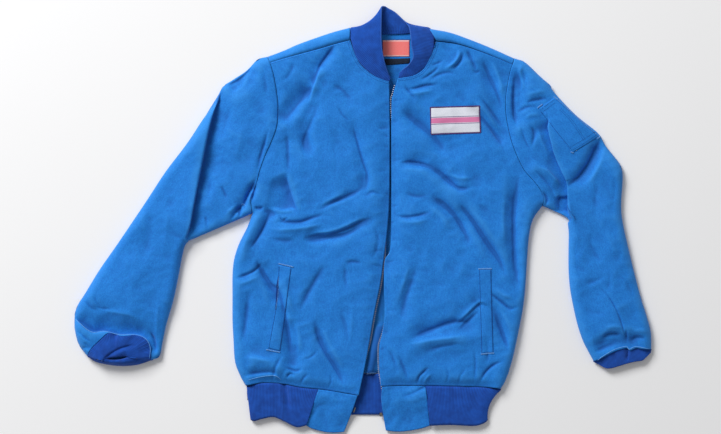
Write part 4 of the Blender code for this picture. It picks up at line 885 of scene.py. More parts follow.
def backNet():  # its face to the floor
    sides = []
    for hole, side, end in ((rightBackHole, rightSide, 0), (leftBackHole, leftSide, -1)):
        hole = smoothLine(hole, shares=spacing(lengthOf(hole), backForm["hole"], tail=backForm["insets"]))
        sides.append(np.vstack((smoothLine([backWaist[end]] + side[2:], backForm["side"])[:-1], hole)))
    right = smoothLine(rightShoulder[::-1], backForm["shoulder"])
    left = smoothLine(leftShoulder, backForm["shoulder"])
    top = np.vstack((right, smoothLine(backNeck, backForm["neck"])[1:-1], left))
    plan = patch(*[place(line) for line in (smoothLine(backWaist, len(top)), top, *sides)])
    rolled = rollShare(plan.reshape(-1, 2), outlineLines[-2:]).reshape(plan.shape[:-1])
    return raised(plan, cloth["turn"] * (1 - rolled) + dented(plan, backCreases))


def flapNet(outline, seam, hole, end):  # the back goes on over a shoulder to the forward seam
    shares = np.array(cloth["insets"] + [cloth["overShoulder"]])
    outline = smoothLine(outline, backForm["shoulder"])
    lowered = smoothLine(np.asarray(seam) - (0, 2.5 * cloth["gap"] / picture["pixel"]), len(outline))
    armhole = smoothLine(hole, shares=shares / lengthOf(hole))
    neckEnd = outline[end] + (lowered[end] - outline[end]) * (shares / shares[-1])[:, None]
    sides = (neckEnd, armhole) if end == 0 else (armhole, neckEnd)
    return upperLayer(patch(*[place(line) for line in (outline, lowered, *sides)]))


def joined(pieces):  # several closed shells of one cut become one object
    bpy.ops.object.select_all(action="DESELECT")
    for piece in pieces:
        piece.select_set(True)
    bpy.context.view_layer.objects.active = pieces[0]
    bpy.ops.object.join()
    pieces[0].select_set(False)
    return pieces[0]


backNets = {
    "back_cloth": backNet(),
    "rightFlap": flapNet(rightShoulder[::-1], rightShoulderSeam, rightHole, -1),
    "leftFlap": flapNet(leftShoulder, leftShoulderSeam[::-1], leftHole, 0)}
back = joined([sheetPiece(name, net, cloth["wall"], azureTwill, flip=True) for name, net in backNets.items()])
dress(back, "back", "twill", flat=backForm["cut"], held="laid")

# the knitted bands: sections from the sewn edge to the free edge, heights of the band's middle in mm,
# where nothing is given the band starts level with the cloth it is sewn to
collarSections = [
    ((389, 81.8), (390, 78.6), None, 12.5), ((381.8, 79.7), (386.5, 71), None, 17.0),
    ((373.5, 75.7), (383.5, 61), None, 22.0), ((363.6, 67.9), (381.5, 50), None, 24.0),
    ((356.8, 58.4), (380.8, 40), None, 24.5), ((352.7, 47), (380.8, 28), None, 24.5),
    ((350.5, 37), (381, 16.5), 12.0, 22.5, (1.5, 2.0)), ((350.2, 29.6), (381.4, 8.6), 8.5, 15.5, (2.5, 4.2)),
    ((354.5, 28.4), (384.4, 7.4), 4.2, 9.0, (3.0, 4.6)), ((366, 33.0), (388, 9.2), 3.1, 6.4, (0.5, 1.0)),
    ((389, 34.6), (395, 13.2), 3.1, 5.8), ((412, 33.0), (402.4, 20.2), 3.1, 7.8),
    ((425.6, 28.2), (407.2, 25.0), 4.6, 11.2), ((431, 30.4), (409.2, 28.4), 8.8, 17.2),
    ((433.8, 37), (410.6, 36), 12.2, 22.0), ((432.8, 50.4), (411.6, 47), None, 24.0),
    ((429.5, 58.2), (413.2, 58), None, 24.0), ((423.5, 68.8), (408.4, 66.2), None, 22.5),
    ((413.6, 75.7), (403.6, 70), None, 18.5), ((398.3, 78.7), (399.6, 73.8), None, 13.0)]
waistSections = [
    ((318.2, 388.8), (306.4, 424.8), None, 8.8), ((300, 387), (297, 426.6), None, 8.8),
    ((284, 384), (285, 421.2), None, 8.6), ((274, 382.7), (274, 416.6), None, 8.4),
    ((263, 382.7), (262.5, 418.4), None, 8.4), ((252, 384.6), (254.5, 420.6), 8.0, 7.4),
    ((247.7, 386.6), (251.2, 419), 5.2, 4.8), ((249, 377), (254, 416), 1.7, 1.7),
    ((262, 374.8), (264, 414.6), 1.2, 1.2), ((372, 373.8), (372, 414.6), 1.2, 1.2),
    ((484, 375.2), (477, 414.6), 1.2, 1.2), ((495, 378), (483, 415.6), 1.7, 1.7, (-4, 0)),
    ((500.6, 388.8), (487, 419.6), 5.2, 4.8, (-4.6, -1.0)), ((493.5, 388), (482, 423.4), 8.2, 7.6, (-3, 0)),
    ((480, 386.8), (472, 425.4), None, 8.6), ((450, 386), (450, 424.4), None, 8.8),
    ((425.4, 385.5), (429.9, 425.2), None, 8.8)]
bandForm = {"pitch": 0.0027, "relief": 0.00055, "perRib": 4, "puff": 0.0012,  # a rib and its furrow, metres
            "start": 0.3, "taper": 0.35, "onTop": 0.004, "lifted": 0.0035}  # of creases; above these heights
bandCreases = [  # path, rise in mm, width left and right in mm
    ([(283, 381), (287, 394), (289, 408)], -4.6, 4, 7), ([(279, 386), (282, 400), (283, 414)], 1.2, 5, 5),
    ([(262, 386), (264, 400), (262, 416)], -0.7, 8, 8), ([(300, 392), (303, 408), (301, 424)], -0.6, 8, 8),
    ([(455, 388), (452, 404), (456, 424)], -0.5, 10, 10), ([(478, 390), (474, 406), (470, 424)], -0.6, 8, 8),
    ([(366, 48), (370, 57), (378, 67), (388, 77)], -1.5, 4, 8),
    ([(378, 24), (366, 34), (357, 46)], -1.6, 9, 9), ([(381, 10), (372, 20), (362, 27)], 1.0, 6, 8),
    ([(408, 30), (422, 36), (432, 38)], -0.8, 6, 6), ([(380, 46), (368, 56), (360, 62)], 0.7, 9, 9)]


def creaseBand(net, creases):  # only where the band doesn't lie on the floor
    p = net[..., :2].reshape(-1, 2)
    lift = np.zeros(len(p))
    for path, height, left, right in creases:
        gap, along, whole, side = nearestOn(p, place(smoothLine(path, 12)))[:4]
        width = np.where(side > 0, left, right) / 1000
        taper = ease(bandForm["start"] + np.minimum(along, whole - along) / (bandForm["taper"] * whole))
        lift += height / 1000 * taper * np.exp(-(gap / width) ** 2)
    made = net.copy()
    made[..., 2] += lift.reshape(net.shape[:2]) * (net[..., 2] > bandForm["onTop"])
    return made


def bandNet(sections, across):
    level = [upperLayer(place([s[0]]))[0, 2] * 1000 - cloth["knit"] * 500 for s in sections]
    high = [z if s[2] is None else s[2] for s, z in zip(sections, level)]
    seam = np.array([(*place(s[0]), z / 1000) for s, z in zip(sections, high)])
    free = np.array([(*place(s[1]), s[3] / 1000) for s in sections])
    bow = np.array([s[4] if len(s) > 4 else (0, 0) for s in sections]) * (1, -1) * picture["pixel"]
    dense = np.linspace(0, len(sections) - 1, 12 * len(sections))
    run = runOf(spline(dense, seam) * 0.6 + spline(dense, free) * 0.4)
    columns = bandForm["perRib"] * round(run[-1] / bandForm["pitch"]) + 1
    even = np.interp(np.linspace(0, run[-1], columns), run, dense)
    seam, free, bow = [spline(even, line) for line in (seam, free, bow)]
    rows = []
    for share in np.linspace(0, 1, across):
        row = seam * (1 - share) + free * share
        row[:, :2] += bow * 4 * share * (1 - share)
        row[:, 2] += bandForm["puff"] * 4 * share * (1 - share) * (row[:, 2] > bandForm["lifted"])
        rows.append(row)
    return np.array(rows)


def makeBand(name, net, node, flip, cut, rests, ring=False):  # round ribs with narrow furrows
    wave = np.abs(np.cos(np.arange(net.shape[1]) * math.pi / bandForm["perRib"]))
    relief = np.tile(bandForm["relief"] * (wave - 0.5), (len(net), 1))
    face = net + normalsOf(net, ring, flip) * cloth["knit"] / 2
    # the same relief darkens the furrows' colour, as painted shade
    piece = sheetPiece(name, face, cloth["knit"], royalRib, ring=ring, flip=flip, relief=relief)
    dress(piece, node, "rib_knit", flat=cut, held="gathered", rests_on=rests)


collarNet = creaseBand(bandNet(collarSections, 22), bandCreases[6:])
makeBand("collarRib", collarNet, "collar", True, (0.056, 0.36), ["back", "front_right", "front_left"])
waistNet = creaseBand(bandNet(waistSections, 16), bandCreases[:6])
makeBand("waistRib", waistNet, "waist_rib", False, (0.072, 0.80), ["back"])

rightCuffForm = {
    "half": 220, "rows": 32, "middle": (120, 351), "tuck": 0.016,
    "sewn": 0.0006, "low": 0.0030, "ends": 0.0040,  # under the sleeve's face, over the floor, and at its ends
    "bulge": (0.55, 0.0200, 0.80), "mouth": (0.0190, 0.0178), "inside": ((0.08, 0.0130), (0.16, 0.0070)),
    "upperLip": [(104.9, 358.7), (111, 355.9), (119, 355.0), (126, 354.6), (131, 355.8)],
    "lowerLip": [(131, 355.8), (126, 358.4), (119, 359.8), (112, 359.9), (104.9, 358.7)],
    "creases": [
        ([(104.9, 358.7), (107.8, 355.8), (115, 350.7), (123.8, 346.4), (133.9, 344.2)], -3.4, 1.8, 5.5),
        ([(112, 357), (120, 352), (129, 349)], 1.6, 5, 5), ([(104, 350), (114, 344), (126, 339)], 1.0, 7, 7)]}
leftCuffForm = {
    "half": 200, "rows": 16, "tuck": -0.0006, "under": 0.0026, "fold": 0.0052, "top": 0.0100,
    "mouth": [(649.6, 352.6), (644.6, 357.7), (641, 360.3), (632, 361.7), (620.5, 364.9), (611.5, 367.6),
              (605, 367.8), (597, 362.8)],
    "creases": [([(626, 345), (627.5, 352), (626.5, 360)], -3.2, 1.6, 5.0),
                ([(612, 352), (613.5, 358), (613, 364)], -0.8, 3, 6)]}


def rightCuffNet(form):  # squashed end on, so its mouth looks up out of the sleeve's end
    half = form["half"]
    seams, lips = [np.vstack([smoothLine(line, half + 1)[:-1] for line in pair]) for pair in (
        (rightCuffSeam, rightCuffUnder[::-1]), (form["upperLip"], form["lowerLip"]))]
    seams += (np.array(form["middle"]) - seams) * form["tuck"]
    tip = np.abs(np.sin(math.pi * (np.arange(2 * half) % half) / half))
    onSeam = np.arange(2 * half) < half
    sewn = upperLayer(place(seams))
    z = np.where(onSeam, sewn[:, 2] - form["sewn"], form["low"] + form["ends"] * (1 - tip) ** 3)
    start = np.where(onSeam[:, None], sewn[:, :2], place(seams))
    mouth = place(lips)
    share, top, rise = form["bulge"]
    stations = [raised(start, z), raised(start * (1 - share) + mouth * share, z + (top - z) * rise),
                raised(mouth, np.where(onSeam, *form["mouth"]))]
    for share, height in form["inside"]:
        stations.append(raised(mouth * (1 - share) + mouth.mean(0) * share, height))
    where = np.interp(np.linspace(0, 1, form["rows"]), (0, 0.78, 1), (0, 2, 4))
    return creaseBand(spline(where, np.array(stations)), form["creases"])


def leftCuffNet(form):  # lies flat, its mouth faces down the picture
    half = form["half"]
    bulge = np.sin(math.pi * np.arange(half) / half) ** 0.5
    stations = []
    for share in (0.0, 0.35, 0.7, 1.0):
        ring = []
        for seam, mouth, lies in ((leftCuffSeam, form["mouth"], False),
                                  (leftCuffUnder[::-1], form["mouth"][::-1], True)):
            starts = smoothLine(seam, half + 1)[:-1] + (0, form["tuck"] / picture["pixel"])
            ends = smoothLine(mouth, half + 1)[:-1]
            sewn = upperLayer(place(starts))[:, 2] - form["under"]
            middle = cloth["knit"] / 2 if lies else sewn + (form["top"] - sewn) * share
            z = form["fold"] + (middle - form["fold"]) * bulge
            ring.append(raised(place(starts + (ends - starts) * share), z))
        stations.append(np.vstack(ring))
    return creaseBand(spline(np.linspace(0, 3, form["rows"]), np.array(stations)), form["creases"])


rightCuff, leftCuff = rightCuffNet(rightCuffForm), leftCuffNet(leftCuffForm)
makeBand("cuffRibRight", rightCuff, "cuff_right", True, (0.045, 0.27), ["sleeve_right"], ring=True)
makeBand("cuffRibLeft", leftCuff, "cuff_left", False, (0.025, 0.24), ["sleeve_left"], ring=True)

# the waistband's woven ends
tabForms = {
    "tab_right": [  # bottom, top, left and right edge
        [(306.2, 425), (312, 428.2), (325, 431.8), (336, 432.4), (344.2, 431.6)],
        [(318.5, 388.9), (330, 390.4), (345, 392.9), (357.7, 394.9)],
        [(306.2, 425), (313, 405), (318.5, 388.9)], [(344.2, 431.6), (351, 414), (357.7, 394.9)]],
    "tab_left": [
        [(385.8, 430.2), (400, 431.4), (418, 429), (429.9, 425.4)],
        [(382, 386), (400, 385.6), (425.2, 385.5)],
        [(385.8, 430.2), (382.8, 412), (381.2, 398), (382, 386)],
        [(429.9, 425.4), (427.6, 404), (425.2, 385.5)]],
}
tabCreases = [
    ([(403, 395), (412, 393), (420, 389), (428, 385)], -1.8, 3, 3),
    ([(404, 400), (416, 399), (426, 394)], 0.8, 4, 5),
    ([(384, 412), (389, 404), (390, 392)], -0.6, 4, 4), ([(330, 393), (326, 408), (322, 424)], -0.7, 7, 7),
    ([(345, 398), (340, 414), (334, 428)], 0.6, 7, 7), ([(312, 416), (318, 406), (326, 402)], -0.7, 4, 4),
    ([(408, 405), (412, 416), (409, 427)], -0.7, 7, 6), ([(396, 396), (398, 412), (396, 428)], 0.5, 6, 6)]
tabForm = {"across": 44, "up": 36, "freeHeight": 0.0044, "wall": 0.0024, "puff": 0.0007,
           "waves": (1.6, 0.7), "cut": (0.094, 0.084)}  # waves: how much closer and lower than the cloth's
tabNets = {}
for name, edges in tabForms.items():
    counts = [tabForm["across"]] * 2 + [tabForm["up"]] * 2
    plan = patch(*[place(smoothLine(edge, count)) for edge, count in zip(edges, counts)])
    share = (np.linspace(0, 1, tabForm["up"]) ** 2)[:, None]
    z = tabForm["freeHeight"] + (upperLayer(plan)[..., 2] - cloth["knit"] / 2 - tabForm["freeHeight"]) * share
    puff = tabForm["puff"] * np.sin(np.linspace(0, math.pi, tabForm["up"]))[:, None]
    closer, lower = tabForm["waves"]
    wavy = unevenness(plan.reshape(-1, 2) * closer).reshape(plan.shape[:-1]) * lower
    tabNets[name] = creaseBand(raised(plan, z + puff + wavy), tabCreases)
    face = tabNets[name] + normalsOf(tabNets[name]) * tabForm["wall"] / 2
    piece = sheetPiece(name + "_cloth", face, tabForm["wall"], azureTwill)
    dress(piece, name, "twill", flat=tabForm["cut"], held="folded", rests_on=["waist_rib"])
print("waistband laid")

# the zip: a tape under the edge of each front and of the tab below it, its teeth past the edge
zipForm = {"places": [0.0125, 0.0080, 0.0030, 0.0001], "thick": 0.0010, "pitch": 0.0038,
           "tooth": (0.0030, 0.0020, 0.0019), "bevel": 0.00028, "waist": 0.72,
           "hidden": -0.0016, "bared": 0.0034, "sunk": 0.4, "fade": 0.03, "ends": 0.004}
zipSides = {  # front, tab, its column at the zip and one further in, where along the zip the cloth rolls back
    "zip_tape_right": ("front_right", "tab_right", -1, -4, (262, 280, 298, 316, 336)),
    "zip_tape_left": ("front_left", "tab_left", 0, 3, (82, 98, 350, 366))}
upright = np.array((0, 0, 1.0))


def taken(shape):  # its points and faces; the shape itself goes
    points = np.array([v.co for v in shape.data.vertices])
    faces = [list(f.vertices) for f in shape.data.polygons]
    bpy.data.objects.remove(shape)
    return points, faces


def trim(piece):  # sewn on, with no node of its own
    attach(piece, "root")


def makeTooth(size):  # a tooth with a rounded head and a waist, cut from a cube with operators
    bpy.ops.object.select_all(action="DESELECT")
    bpy.ops.mesh.primitive_cube_add(size=1)
    tooth = bpy.context.object
    bpy.ops.object.mode_set(mode="EDIT")
    bpy.ops.mesh.select_all(action="SELECT")
    bpy.ops.transform.resize(value=size)
    bpy.ops.mesh.bevel(offset=zipForm["bevel"], segments=1, affect="EDGES")
    bpy.ops.object.mode_set(mode="OBJECT")
    points, faces = taken(tooth)
    points[:, 1] *= np.where(points[:, 0] < 0, zipForm["waist"], 1.0)
    return points, faces


def copyAlong(name, shape, frames, finish):  # one mesh of many turned copies of a small shape
    points, faces = shape
    allPoints, allFaces = [], []
    for middle, forward, up in frames:
        forward = forward / np.linalg.norm(forward)
        side = np.cross(up, forward)
        side /= np.linalg.norm(side)
        start = len(allPoints) * len(points)
        allPoints.append(middle + points @ np.array([forward, side, np.cross(forward, side)]))
        allFaces += [[start + k for k in face] for face in faces]
    mesh = bpy.data.meshes.new(name)
    mesh.from_pydata(np.vstack(allPoints).tolist(), [], allFaces)
    return putIn(name, mesh, finish)


toothShape = makeTooth(zipForm["tooth"])
for name, (frontName, tabName, column, inside, shown) in zipSides.items():
    edges = [(row[column], row[inside], cloth["knit"] / 2 + cloth["gap"])
             for row in tabNets[tabName][14:-2:3]]
    edges += [(row[-1], row[-4], oneBelow) for row in frontNets[frontName][3:-2:3]]
    tapeRows, teethLine = [], []
    for edge, within, below in edges:
        inward = (within - edge) / np.linalg.norm(within - edge)
        tapeRows.append([edge + inward * d - (0, 0, below) for d in zipForm["places"]])
        bare = sum(np.exp(-((edge[1] - place((0, row))[1]) / zipForm["fade"]) ** 2) for row in shown)
        reach = zipForm["hidden"] + zipForm["bared"] * min(float(bare), 1.0)
        teethLine.append(edge - inward * reach - (0, 0, below + zipForm["thick"] * zipForm["sunk"]))
    onLeft = name == "zip_tape_left"
    tape = sheetPiece(name + "_cloth", np.array(tapeRows), zipForm["thick"], navyTape, flip=onLeft)
    dress(tape, name, "zip_tape", flat=(0.0125, 0.62), held="laid", rests_on=[frontName])
    teethLine = np.array(teethLine)
    first = zipForm["pitch"] / 2 if onLeft else 0.0  # the two rows mesh
    spots = pointsAt(teethLine, np.arange(first, runOf(teethLine)[-1] - zipForm["ends"], zipForm["pitch"]))
    outward = np.cross(np.gradient(spots, axis=0), upright) * (-1 if onLeft else 1)
    outward[:, 2] = 0
    frames = [(spot, -out, upright) for spot, out in zip(spots, outward)]
    trim(copyAlong("teeth_" + frontName[6:], toothShape, frames, dullNickel))
print("zip laid")
for name in ("zip_pin", "zip_box", "zip_slider"):
    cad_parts[name].data.materials.clear()
    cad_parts[name].data.materials.append(dullBrass)

# pieces sewn on the upper layer: their points are those of the cloth below, moved out
laidForms = {  # lift: height over the cloth in mm; mesh: columns and rows
    # the right welt takes the rub, so the painted shade of the fold crosses it
    "welt_right": {"corners": [(279.4, 264.5), (291.6, 267.5), (280.6, 350.5), (268.4, 347.6)], "lift": 0.7,
                   "mesh": (10, 64), "bow": 2.2, "finish": azureTwill, "slot": "twill",
                   "on": "front_right", "wearAndPaintedLight": True, "cut": (0.026, 0.165)},
    "welt_left": {"corners": [(478.5, 269), (490.5, 269), (492.8, 352), (481, 353)], "lift": 0.7,
                  "mesh": (10, 64), "finish": azureTwill, "slot": "twill", "on": "front_left",
                  "cut": (0.024, 0.165)},
    "sleeve_pocket": {"corners": [(538, 109), (554, 97.5), (598, 137), (571, 153.5)], "lift": 0.9,
                      "mesh": (32, 46), "finish": azureTwill, "slot": "twill", "on": "sleeve_left",
                      "cut": (0.06, 0.115)},
    "chest_patch": {"corners": [(430, 108), (479, 106.5), (480, 133), (431, 134.5)], "lift": 0.6,
                    "mesh": (38, 22), "finish": patchTwill, "slot": "patch", "on": "front_left",
                    "cut": (0.094, 0.051)},
}
innerForms = {
    "neck_facing": {"corners": [(360, 32.6), (420, 32.4), (419, 40.2), (361, 40.2)], "lift": 0.75,
                    "mesh": (40, 8), "finish": azureTwill, "slot": "twill", "on": "back",
                    "cut": (0.115, 0.0148), "sewn": 0.2},
    "neck_label": {"corners": [(382.6, 40.3), (409.4, 40.3), (409.4, 56.6), (382.6, 56.6)], "lift": 0.85,
                   "mesh": (30, 22), "finish": salmonLabel, "slot": "label", "on": "back",
                   "cut": (0.0509, 0.031), "sewn": 0.1},
    "size_strip": {"corners": [(384, 59.3), (410, 58.2), (409.6, 63.4), (386.5, 65.4)], "lift": 0.75,
                   "mesh": (22, 7), "finish": blackStrip, "slot": "size_strip", "on": "back",
                   "cut": (0.048, 0.0106), "sewn": 0.1},
}
layForm = {"clear": 0.35, "sewn": 0.35, "edge": 1.6}  # mm over the cloth, mm lower at the edge, its cells


def netBetween(corners, across, up, bow=0.0):  # bow: how far the left edge bends to the right, in pixels
    a, b, c, d = [place(p) for p in corners]
    v = np.linspace(0, 1, up)[:, None, None]
    u = np.linspace(0, 1, across)[None, :, None]
    bend = np.array((bow * picture["pixel"], 0.0)) * 4 * v * (1 - v) * (1 - u)
    return (d * (1 - v) + a * v) * (1 - u) + (c * (1 - v) + b * v) * u + bend


def backTop(plan):  # the back's inner face, as the open neck and fronts show it
    return raised(plan, cloth["wall"] + dented(plan, backCreases))


def layPiece(name, form, surface):
    across, up = form["mesh"]
    net = surface(netBetween(form["corners"], across, up, form.get("bow", 0.0)))
    u = np.minimum(np.arange(across), np.arange(across)[::-1])[None, :]
    v = np.minimum(np.arange(up), np.arange(up)[::-1])[:, None]
    edge = 1 - ease(np.minimum(u, v) / layForm["edge"])  # edges are sewn down, so they lie lower
    height = (form["lift"] - form.get("sewn", layForm["sewn"]) * edge) / 1000
    piece = sheetPiece(name + "_cloth", net + normalsOf(net) * height[..., None],
                       (form["lift"] - layForm["clear"]) / 1000, form["finish"], wearAndPaintedLight=form.get("wearAndPaintedLight", False))
    dress(piece, name, form["slot"], flat=form["cut"], held="laid", rests_on=[form["on"]])


for forms, surface in ((laidForms, onTop), (innerForms, backTop)):
    for name, form in forms.items():
        layPiece(name, form, surface)
print("pockets, patch and labels laid")


def beside(path, gap):  # the path moved to its left by a gap in mm, still in pixels
    line = smoothLine(path, 4 * len(path) + 8)
    ahead = np.gradient(line, axis=0)
    ahead /= np.linalg.norm(ahead, axis=1)[:, None]
    return line + np.column_stack((ahead[:, 1], -ahead[:, 0])) * gap / 1000 / picture["pixel"]


def makeStitch(form):  # one stitch: a round thread that dips at both ends
    bpy.ops.object.select_all(action="DESELECT")
    bpy.ops.mesh.primitive_uv_sphere_add(segments=6, ring_count=5, radius=0.5)
    stitch = bpy.context.object
    bpy.ops.object.mode_set(mode="EDIT")
    bpy.ops.mesh.select_all(action="SELECT")
    bpy.ops.transform.rotate(value=math.pi / 2, orient_axis="Y", center_override=(0, 0, 0))
    bpy.ops.transform.resize(value=(form["length"], form["thread"], form["thread"]))
    bpy.ops.object.mode_set(mode="OBJECT")
    return taken(stitch)


def stitchFrames(line, form, lift, reach="length"):  # places on a line in space, one for each stitch
    spots = np.arange(form["pitch"] / 2, runOf(line)[-1], form["pitch"])
    ahead = pointsAt(line, spots + form[reach] / 2) - pointsAt(line, spots - form[reach] / 2)
    return [(middle + (0, 0, lift), a, upright) for middle, a in zip(pointsAt(line, spots), ahead)]


def tackFrames(line, lift, slant):  # short threads side by side across the line
    return [(middle, np.cross(up, ahead) + ahead * slant, up)
            for middle, ahead, up in stitchFrames(line, tackForm, lift, "thread")]


stitchForm = {"length": 0.0023, "thread": 0.00055, "pitch": 0.0030, "lift": 0.00012}
weltShadeLine = {"length": 0.0034, "thread": 0.0009}  # so long and thick they join into one dark line: painted shade along the welts' edges
sunkSeam = {"length": 0.0022, "thread": 0.0007}  # shorter stitches with light gaps between them
# the welts' and sleeve pocket's dark lines are painted shade, the neck's its own dark stitching
stitchThreads = {"sleevePocket": seamThreadAndShade, "neck": seamThreadAndShade, "welts": seamThreadAndShade}
stitchSizes = {"sleevePocket": sunkSeam, "neck": sunkSeam, "welts": weltShadeLine}
stitchHeights = {"sleevePocket": 0.85, "welts": 0.5}  # how far above the upper layer they lie in mm
stitchPaths = {
    "neck": [beside(rightNeck, -5.0), beside(rightNeck, -1.6), beside(leftNeck, 5.0), beside(leftNeck, 1.6)],
    "zipEdges": [beside(rightZip, 5.5)[2:-1], beside(leftZip, -5.5)[2:-1]],
    "shoulders": [beside(rightShoulderSeam, -2.2), beside(leftShoulderSeam[::-1], -2.2)],
    "waist": [beside(rightWaist, 2.6), beside(leftWaist[::-1], 2.6)],
    "sleevePocket": [
        [(541, 109), (553, 100.5)], [(542.5, 112), (554, 103.4)],
        [(571, 150.6), (583, 143.5), (595.5, 135.2)],
        [(569, 147.6), (581, 140.6), (593.5, 132.4)], [(540, 112), (556, 132.5), (571, 151)],
        [(555, 100), (577, 119), (596.5, 136)], [(560, 109), (572, 122), (584, 140)],
        [(558.6, 110), (570.6, 123), (582.6, 141)]],
    "welts": [[(279.5, 266), (279.1, 276), (278.4, 293), (276.2, 309.5), (269.4, 346.5)],
              [(291.2, 268.6), (287.2, 299), (284, 324.5), (280.4, 349.4)],
              [(478.9, 270), (481.3, 352)], [(490.2, 270), (492.5, 351.3)]],
}
for group, paths in stitchPaths.items():
    lift = stitchForm["lift"] + stitchHeights.get(group, 0) / 1000
    frames = []
    for path in paths:
        frames += stitchFrames(onTop(place(smoothLine(path, 120))), stitchForm, lift)
    shape = makeStitch(stitchSizes.get(group, stitchForm))
    trim(copyAlong("stitches_" + group, shape, frames, stitchThreads.get(group, azureThread)))

tackForm = {"length": 0.0030, "thread": 0.0007, "pitch": 0.00075, "slant": 0.25, "borderSlant": 0.15}
tackShape = makeStitch(tackForm)
tacks = [  # bar tacks: both ends, and mm over the upper layer
    ((278.6, 263.2), (293.4, 266.6), 1.0), ((266.6, 348.9), (280.6, 351.6), 1.0),
         ((477.6, 268.6), (491, 268.4), 0.9), ((480.2, 353.4), (493.4, 352.4), 0.9),
         ((536.5, 108.5), (541.5, 104.8), 1.0), ((553, 97.2), (557, 100), 1.0),
         ((569.5, 152.2), (572.5, 153.2), 1.0), ((596, 139), (600, 136.6), 1.0)]
frames = []
for start, end, above in tacks:
    frames += tackFrames(onTop(place(smoothLine([start, end], 40))), above / 1000, tackForm["slant"])
trim(copyAlong("barTacks", tackShape, frames, paleThread))

frames = []
corners = laidForms["chest_patch"]["corners"]
for start, end in zip(corners, corners[1:] + corners[:1]):  # the patch's merrowed border
    frames += tackFrames(onTop(place(smoothLine([start, end], 60))), 0.0006, tackForm["borderSlant"])
trim(copyAlong("patchBorder", tackShape, frames, plumThread))

tabRows = [tabNets[name][2:-2, column]  # the ends' double rows beside the zip, and one above the free edge
           for name, column in (("tab_left", 3), ("tab_left", 6), ("tab_right", -4), ("tab_right", -7))]
tabRows += [net[3, 3:-3] for net in tabNets.values()]
frames = []
for line in tabRows:
    frames += stitchFrames(line, stitchForm, 0.0002)
trim(copyAlong("stitches_tabs", makeStitch(stitchForm), frames, paleThread))
print("stitches sewn")


edgeForm = {"blunt": 0.02, "fade": 0.008, "sides": 8}  # a roll thins out towards its ends


def edging(name, line, radius, finish):  # the turned edge of a seam allowance, as a thin round roll
    ahead = np.gradient(line, axis=0)
    ahead /= np.linalg.norm(ahead, axis=1)[:, None]
    side = np.cross(ahead, upright)
    side /= np.linalg.norm(side, axis=1)[:, None]
    up = np.cross(side, ahead)
    run = runOf(line)
    toEnd = np.minimum(run, run[-1] - run)
    thin = np.sqrt(np.minimum(1, edgeForm["blunt"] + toEnd / edgeForm["fade"]))[:, None, None] * radius
    turn = np.linspace(0, 2 * math.pi, edgeForm["sides"], endpoint=False)[None, :, None]
    rings = line[:, None] + thin * (side[:, None] * np.cos(turn) + up[:, None] * np.sin(turn))
    rows, count = rings.shape[:2]
    quads, corners = gridQuads(rows, count, True, np.arange(count + 1) * 0.001, np.arange(rows) * 0.001)
    trim(fillMesh(name, rings.reshape(-1, 3), quads, corners, finish))


edgings = [  # path in pixels, radius and height above the upper layer in mm
    ("edging_cuff_right", beside(overlaps[2][0][::-1], -3.9), 0.55, 0.2),
    ("edging_cuff_left", [(596.4, 359.8), (602, 355.4), (613.6, 348.8), (625, 346), (628, 348.8),
                          (635, 346.2), (649, 348.6)], 0.6, 0.1),
    ("edging_hem_right", [(248, 379.6), (262, 376), (275, 375), (281.6, 379.4)], 0.6, 0.1),
    ("edging_armpit", [(241.6, 204.6), (243.4, 204), (246, 206)], 0.6, 0.3),
]
# their pale colour is painted highlight on the lit rims
for name, path, radius, above in edgings:
    line = upperLayer(place(smoothLine(path, 70))) + (0, 0, above / 1000)
    edging(name, line, radius / 1000, paintedEdgeHighlight)

# the collar's free edge, paler as painted highlight
edging("edging_collar", collarNet[-1, 3:-3] + (0, 0, 0.0003), 0.0013, ribEdgeHighlight)

# the pocket mouth that gapes beside the upper half of the wearer's right welt: a sheet of pocketing, darkened
# as painted shade, and its rolled edge
mouthForm = {"inner": [(278.5, 276), (276.9, 284), (276.3, 295), (275.7, 309.5)],
             "outer": [(278.9, 276), (278.6, 284), (278.1, 296), (276.0, 309.5)],
             "above": 0.0007, "wall": 0.0003, "edgeAbove": 0.0012, "edge": 0.0004}
inner, outer = [place(smoothLine(mouthForm[side], 30)) for side in ("inner", "outer")]
share = np.linspace(0, 1, 5)[None, :, None]
mouthNet = upperLayer(inner[:, None] * (1 - share) + outer[:, None] * share) + (0, 0, mouthForm["above"])
mouth = sheetPiece("pocketMouth", mouthNet, mouthForm["wall"], pocketingInPaintedShade, flip=True, wearAndPaintedLight=False)
trim(mouth)
# the welt's folded edge beside the mouth, pale as painted highlight
line = upperLayer(outer) + (0, 0, mouthForm["edgeAbove"])
edging("edging_mouth", line, mouthForm["edge"], paintedEdgeHighlight)

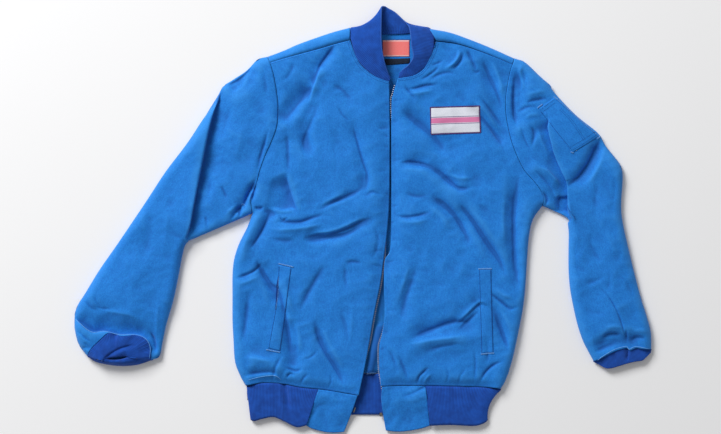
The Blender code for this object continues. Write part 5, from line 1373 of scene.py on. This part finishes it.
# the overlocked edge inside the left front's foot
overlockForm = {"start": (365.5, 372.2), "step": 0.5, "width": 1.6, "turns": 22,
                "above": 0.0006, "thread": 0.00028}
k = np.arange(overlockForm["turns"])
zigzag = np.column_stack((k * overlockForm["step"], k % 2 * overlockForm["width"])) + overlockForm["start"]
line = backTop(place(zigzag)) + (0, 0, overlockForm["above"])
edging("overlock_inside", line, overlockForm["thread"], paleThread)
print("edges rolled")

# floor, light and camera
lightForm = {"toKey": (-0.50, 0.68, 0.56), "keyDistance": 6.0, "keySize": 2.5, "keyPower": 385.0,
             "fill": 0.36, "background": "#F4F4F4"}
floorForm = {"size": 9, "height": -0.0003, "colour": "#F8F8F9", "roughness": 0.85}
cameraForm = {"lens": 85.0, "sensor": 36.0, "aim": (-0.0049, 0.0055), "height": 3.235}


bpy.ops.object.select_all(action="DESELECT")
bpy.ops.mesh.primitive_plane_add(size=floorForm["size"])
floor = bpy.context.object
floor.name = "floor"
floor.location = (0, 0, floorForm["height"])
whiteFloor = startMaterial("whiteFloor", {
    "Roughness": floorForm["roughness"], "Specular IOR Level": 0.2,
    "Base Color": toLinear(floorForm["colour"])})[0]
floor.data.materials.append(whiteFloor)
key = bpy.data.lights.new("key", "AREA")
key.energy = lightForm["keyPower"]
key.size = lightForm["keySize"]
keyLamp = bpy.data.objects.new("key", key)
toKey = np.array(lightForm["toKey"]) / np.linalg.norm(lightForm["toKey"])
keyLamp.location = toKey * lightForm["keyDistance"]
keyLamp.rotation_euler = (math.acos(toKey[2]), 0, math.atan2(toKey[1], toKey[0]) + math.pi / 2)
bpy.context.scene.collection.objects.link(keyLamp)
world = bpy.data.worlds.new("studio")
world.use_nodes = True
background = world.node_tree.nodes["Background"].inputs
background["Color"].default_value = toLinear(lightForm["background"])
background["Strength"].default_value = lightForm["fill"]
bpy.context.scene.world = world
bpy.context.scene.view_settings.view_transform = "Standard"

camera = bpy.data.cameras.new("camera")
camera.lens = cameraForm["lens"]
camera.sensor_width = cameraForm["sensor"]
cameraObject = bpy.data.objects.new("camera", camera)
cameraObject.location = (*cameraForm["aim"], cameraForm["height"])
bpy.context.scene.collection.objects.link(cameraObject)
bpy.context.scene.camera = cameraObject
print("studio set")
